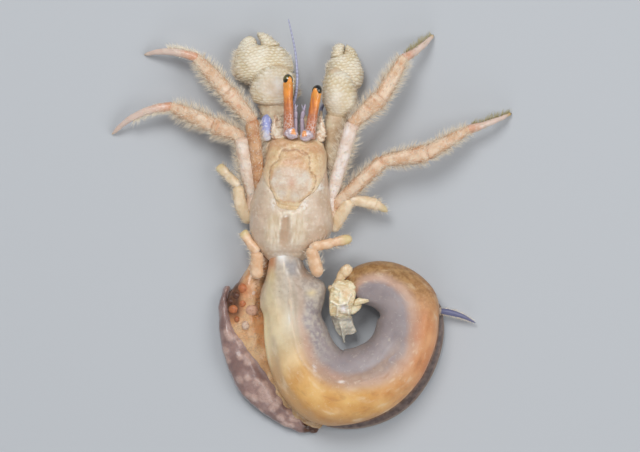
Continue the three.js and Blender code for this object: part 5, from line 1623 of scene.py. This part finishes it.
# Reaches: length, heading and pitch of each segment. Warmth: cream to orange brown. Fringe: hair lengths.
walkingLegs = [
    {"name": "leg2_left", "start": (7.94, -4.57, 3.7),
     "reaches": [(11.7, 6, 13), (5.5, 41, -5), (7.4, 42, -19), (8.7, 85, -22)],
     "bow": -0.7, "lift": 1.0, "warmth": (1.0, 0.62, 0.5, 0.5), "fringe": (0.5, 2.0),
     "tipSide": 180, "tipSpan": (0.0, 0.55), "gold": 0.0, "slim": 1.0, "broad": 1.0},
    {"name": "leg3_left", "start": (9.14, -4.67, 3.3),
     "reaches": [(9.2, 9, 14), (4.8, 68, -4), (7.0, 66, -14), (10.5, 114, -18)],
     "bow": -1.0, "lift": 1.1, "warmth": (0.24, 0.66, 0.5, 0.5), "fringe": (0.5, 2.2),
     "tipSide": 0, "tipSpan": (0.0, 0.6), "gold": 0.0, "slim": 1.0, "broad": 1.25},
    {"name": "leg2_right", "start": (-2.59, -4.57, 3.4),
     "reaches": [(11.7, -16, 14), (5.7, -48, -2), (7.1, -30, -12), (7.2, -51, -37)],
     "bow": -0.3, "lift": 0.5, "warmth": (0.04, 0.6, 0.5, 0.6), "fringe": (0.5, 2.1),
     "tipSide": 0, "tipSpan": (0.1, 0.95), "gold": 0.75, "slim": 0.95, "broad": 1.0},
    {"name": "leg3_right", "start": (-2.99, -3.18, 3.2),
     "reaches": [(10.2, -47, 14), (6.7, -80, -4), (7.5, -60, -15), (7.6, -69, -24)],
     "bow": -0.2, "lift": 1.0, "warmth": (0.6, 0.66, 0.6, 0.7), "fringe": (0.5, 1.8),
     "tipSide": 0, "tipSpan": (0.1, 0.97), "gold": 0.85, "slim": 0.82, "broad": 1.0},
]


def turnFrom(angle, middle):
    # Degrees from a place round a tube, -180 to 180.
    return (np.degrees(angle) - middle + 180) % 360 - 180


def makeWalkingLegs(finishes, coats):
    for leg in walkingLegs:
        here = np.array(leg["start"])
        coat = coats[leg["name"]]
        heading, pitch = leg["reaches"][0][1:]
        hip = {"path": [step(here, -2.2, heading * 0.5, 0), step(here, 0.5, heading, pitch)], **hipForm}
        piece = makeTube(f"{leg['name']}_hip_shell", hip, 30, 24, warmth=leg["warmth"][0])
        closeUp(piece, finishes["leg"], "leg_shell")
        for number, (kind, reach) in enumerate(zip(segmentForms, leg["reaches"])):
            form, isTip = segmentForms[kind], kind == "dactyl"
            there = step(here, *reach)
            lift, bow = (leg["lift"], leg["bow"]) if isTip else (form["lift"], 0)
            middle = (here + there) / 2 + step((0, 0, lift), bow, reach[1] + 90)
            stub = (there - here) / reach[0]
            path = [here - stub * 0.35, middle, there + stub * (0.0 if isTip else 0.15)]
            if isTip:  # an even arc has its quarter points pushed out too
                near, far = (path[0] * 3 + path[2]) / 4, (path[0] + path[2] * 3) / 4
                push = middle - (path[0] + path[2]) / 2
                path = [path[0], near + push * 0.75, middle, far + push * 0.75, path[2]]
            slim = {"merus": leg["broad"], "carpus": 1.0}.get(kind, leg["slim"])
            sizes = [(t, half * (1 + (slim - 1) * min(t * 2, 1)), tall) for t, half, tall in form["sizes"]]
            shape = {"path": path, "sizes": sizes, **(tipEnds if isTip else segmentEnds)}

            def sculpt(t, angle, point):
                # A row of low teeth along the front margin, a groove down the flank, and fine grain.
                count, strength = form["teeth"]
                teeth = np.clip(np.sin(t * math.pi * 2 * count), 0, 1) ** 3
                teeth *= hump(turnFrom(angle, 55), 0, 16) * smooth(t, 0.08, 0.2)
                flank = hump(turnFrom(angle, 5), 0, 14) + hump(turnFrom(angle, 175), 0, 14)
                flank *= smooth(t, 0.1, 0.3) * (1 - smooth(t, 0.7, 0.95))
                grain = np.clip(lumps(point, 0.45, 61), 0.2, 1) - 0.2
                return strength * teeth - 0.05 * flank + 0.035 * lumps(point, 1.7, 62) + 0.05 * grain

            name = f"{leg['name']}_{kind}"
            piece = makeTube(f"{name}_shell", shape, 44, 66, sculpt, warmth=leg["warmth"][number])
            closeUp(piece, finishes["dactyl" if isTip else "leg"], "leg_tip" if isTip else "leg_shell", name)
            (short, long), count = leg["fringe"], form["hairs"]
            if isTip:  # hairs mainly along one side of the tip
                near, gold = leg["tipSide"], leg["gold"]
                coat.grow(
                    shape, count, (near,), (0.4, 1.5), spread=0.4, lean=0.5, tone=0.8, span=leg["tipSpan"],
                    gold=gold)
                coat.grow(
                    shape, 90, (180 - near, 90), (0.2, 0.6), spread=0.4, lean=0.6, tone=0.8,
                    span=(0.0, 0.4), gold=gold * 0.5)
            else:  # long hairs at the sides, short ones over the top
                coat.grow(
                    shape, count, (0, 180), (short, long), spread=0.36, lean=0.35, tone=0.6, thick=0.02,
                    span=(0.03, 0.98))
                coat.grow(
                    shape, count // 2, (30, 65, 115, 150), (short * 0.5, long * 0.4), spread=0.3, lean=0.8,
                    tone=0.75, thick=0.02, bend=0.4, span=(0.03, 0.98))
            here = there


smallLegSizes = {
    "merus": [(0, 0.92, 0.82), (0.15, 0.98, 0.86), (0.5, 0.98, 0.86), (0.9, 0.86, 0.78), (1, 0.74, 0.7)],
    "hook": [
        (0, 0.75, 0.7), (0.3, 0.9, 0.8), (0.6, 0.86, 0.72), (0.72, 0.62, 0.55), (0.88, 0.42, 0.4),
        (1, 0.16, 0.16)],
    "hand": [
        (0, 0.66, 0.66), (0.25, 0.74, 0.7), (0.5, 0.72, 0.68), (0.62, 0.7, 0.66), (0.85, 0.72, 0.66),
        (1, 0.6, 0.52)],
}
# Reaches as for the walking legs. Dome: share of the upper segment's length that rounds its root.
smallLegs = [
    {"name": "leg4_left", "start": (9.54, -1.0, 3.0), "reaches": [(5.8, 18, 16), (4.6, 45, -25)],
     "bow": 0.5, "warmth": 0.05, "tipTone": 0.7, "end": "hand", "dome": 0.12, "hairs": 240},
    {"name": "leg4_right", "start": (-2.69, 0.2, 3.2), "reaches": [(5.5, -32, 17), (5.9, -103, -18)],
     "bow": 0.0, "warmth": 0.1, "tipTone": 0.8, "end": "hook", "dome": 0.12, "hairs": 240},
    {"name": "leg5_left", "start": (8.47, 7.33, 4.6), "reaches": [(3.9, 0, 15), (3.8, 35, -12)],
     "bow": 0.0, "warmth": 0.9, "tipTone": 1.0, "end": "hand", "dome": 0.24, "hairs": 170},
    {"name": "leg5_right", "start": (-0.65, 7.01, 6.7), "reaches": [(4.3, 15, 9), (6.2, -77, -5)],
     "bow": 0.0, "warmth": 0.85, "tipTone": 1.0, "end": "hand", "dome": 0.24, "hairs": 170},
]


def makeSmallLegs(finishes, coat):
    for leg in smallLegs:
        here = np.array(leg["start"])
        for kind, reach in zip(("merus", "hand"), leg["reaches"]):
            isHand = kind == "hand"
            there = step(here, *reach)
            stub = (there - here) / reach[0]
            middle = (here + there) / 2 + step((0, 0, 0), 0 if isHand else leg["bow"], reach[1] + 90)
            start, end = here - stub * 0.25, there + stub * 0.1
            shape = {"path": [start, middle, end], "round": (0.12 if isHand else leg["dome"], 0.12),
                     "sizes": smallLegSizes[leg["end"] if isHand else "merus"]}
            if isHand and leg["end"] == "hook":
                bent = there * 0.75 + here * 0.25
                shape["path"] = [start, middle + (0, -0.15, 0), bent, end + (0, 0.55, -0.2)]

            def sculpt(t, angle, point):
                push = 0.05 * lumps(point, 1.3, 72)
                if isHand:  # the joint of its small finger, and the rasp at its end
                    grain = np.clip(lumps(point, 0.3, 71), 0.1, 1) * smooth(t, 0.6, 0.8)
                    push += 0.03 * grain - 0.10 * hump(t, 0.56, 0.03)
                return push

            name, tipTone = f"{leg['name']}_{kind}", leg["tipTone"] if isHand else 0.0
            piece = makeTube(f"{name}_shell", shape, 36, 48, sculpt, warmth=leg["warmth"], tipTone=tipTone)
            closeUp(piece, finishes["smallLeg"], "small_leg", name)
            coat.grow(
                shape, leg["hairs"], (0, 180), (0.4, 1.2), spread=0.5, lean=0.4, tone=0.6, thick=0.017)
            here = there


mouthpart = {
    # Root, knee and tip: x, how far aside, y, z. Reach: length, heading and pitch of the first length.
    "knots": [(2.6, 1, -11.4, 2.2), (2.4, 1.15, -15.4, 3.1), (2.2, 0.7, -16.9, 0.9)], "reach": (2.4, 3, 6),
    "sizes": [(0, 0.85, 0.75), (0.3, 0.8, 0.7), (0.5, 0.72, 0.62), (0.75, 0.56, 0.5), (1, 0.3, 0.28)],
    "round": (0.08, 0.12), "joints": (0.34, 0.62, 0.82), "jointDepth": 0.09,
}


def makeMouthparts(finishes, coat):
    facts = mouthpart
    for side, lean in (("left", 1), ("right", -1)):
        root, knee, tip = (np.array([x + lean * aside, y, z]) for x, aside, y, z in facts["knots"])
        length, heading, pitch = facts["reach"]
        path = [root, step(root, length, lean * heading, pitch), knee, tip]
        shape = {"path": path, "sizes": facts["sizes"], "round": facts["round"]}

        def sculpt(t, angle, point):
            joints = sum(hump(t, at, 0.025) for at in facts["joints"])
            return 0.05 * lumps(point, 1.1, 73) - facts["jointDepth"] * joints

        piece = makeTube(f"maxilliped_{side}_shell", shape, 34, 60, sculpt, warmth=0.2, tipTone=0.3)
        closeUp(piece, finishes["smallLeg"], "small_leg", f"maxilliped_{side}")
        coat.grow(shape, 240, (0, 180), (0.3, 0.7), spread=0.5, lean=0.7, tone=0.6, span=(0.3, 0.97))


floor = setStudio()
floor.data.materials.append(floorFinish())
finishes = {
    "wall": wallFinish(), "shield": shieldFinish(), "pleon": pleonFinish(), "pouch": pouchFinish(),
    "egg": eggFinish(), "tail": tailFinish(), "stalk": stalkFinish(), "cornea": corneaFinish(),
    "scale": scaleFinish(), "feeler": feelerFinish(), "base": baseFinish(), "claw": clawFinish(),
    "arm": armFinish(), "leg": legFinish(), "dactyl": dactylFinish(), "smallLeg": smallLegFinish(),
    "hair": hairFinish(),
}
print("studio and finishes ready")
makeBody(finishes)
makeShield(finishes)
print("body and shield ready")
makePleon(finishes)
pouchFleshShape = makePouch(finishes)
makeFeather(finishes)
makeTail(finishes)
print("tail and pouch ready")
makeEyes(finishes)
headCoat = Coat("headHairs", "body_wall", 8, 100)
makeFeelers(finishes, headCoat)
print("eyes and feelers ready")
clawCoat = Coat("clawHairs", "claw_shell", 10, 101)
makeClaws(finishes, clawCoat)
legCoats = {
    leg["name"]: Coat(leg["name"] + "_hairs", "leg_shell", 8, 110 + number)
    for number, leg in enumerate(walkingLegs)}
makeWalkingLegs(finishes, legCoats)
smallCoat = Coat("smallLegHairs", "small_leg", 12, 104)
makeSmallLegs(finishes, smallCoat)
makeMouthparts(finishes, smallCoat)
smallCoat.grow(
    pouchFleshShape, 700, (20, 50), (0.6, 1.5), spread=0.4, span=(0.16, 0.42), lean=-0.5, tone=0.0,
    wild=0.4, thick=0.018)
smallCoat.grow(featherShaft, 360, (0, 180), (0.35, 0.8), spread=0.2, lean=0.8, tone=0.6, thick=0.014)
print("claws and legs ready")
for coat in (headCoat, clawCoat, *legCoats.values(), smallCoat):
    coat.finish(finishes["hair"])
print("hairs ready")
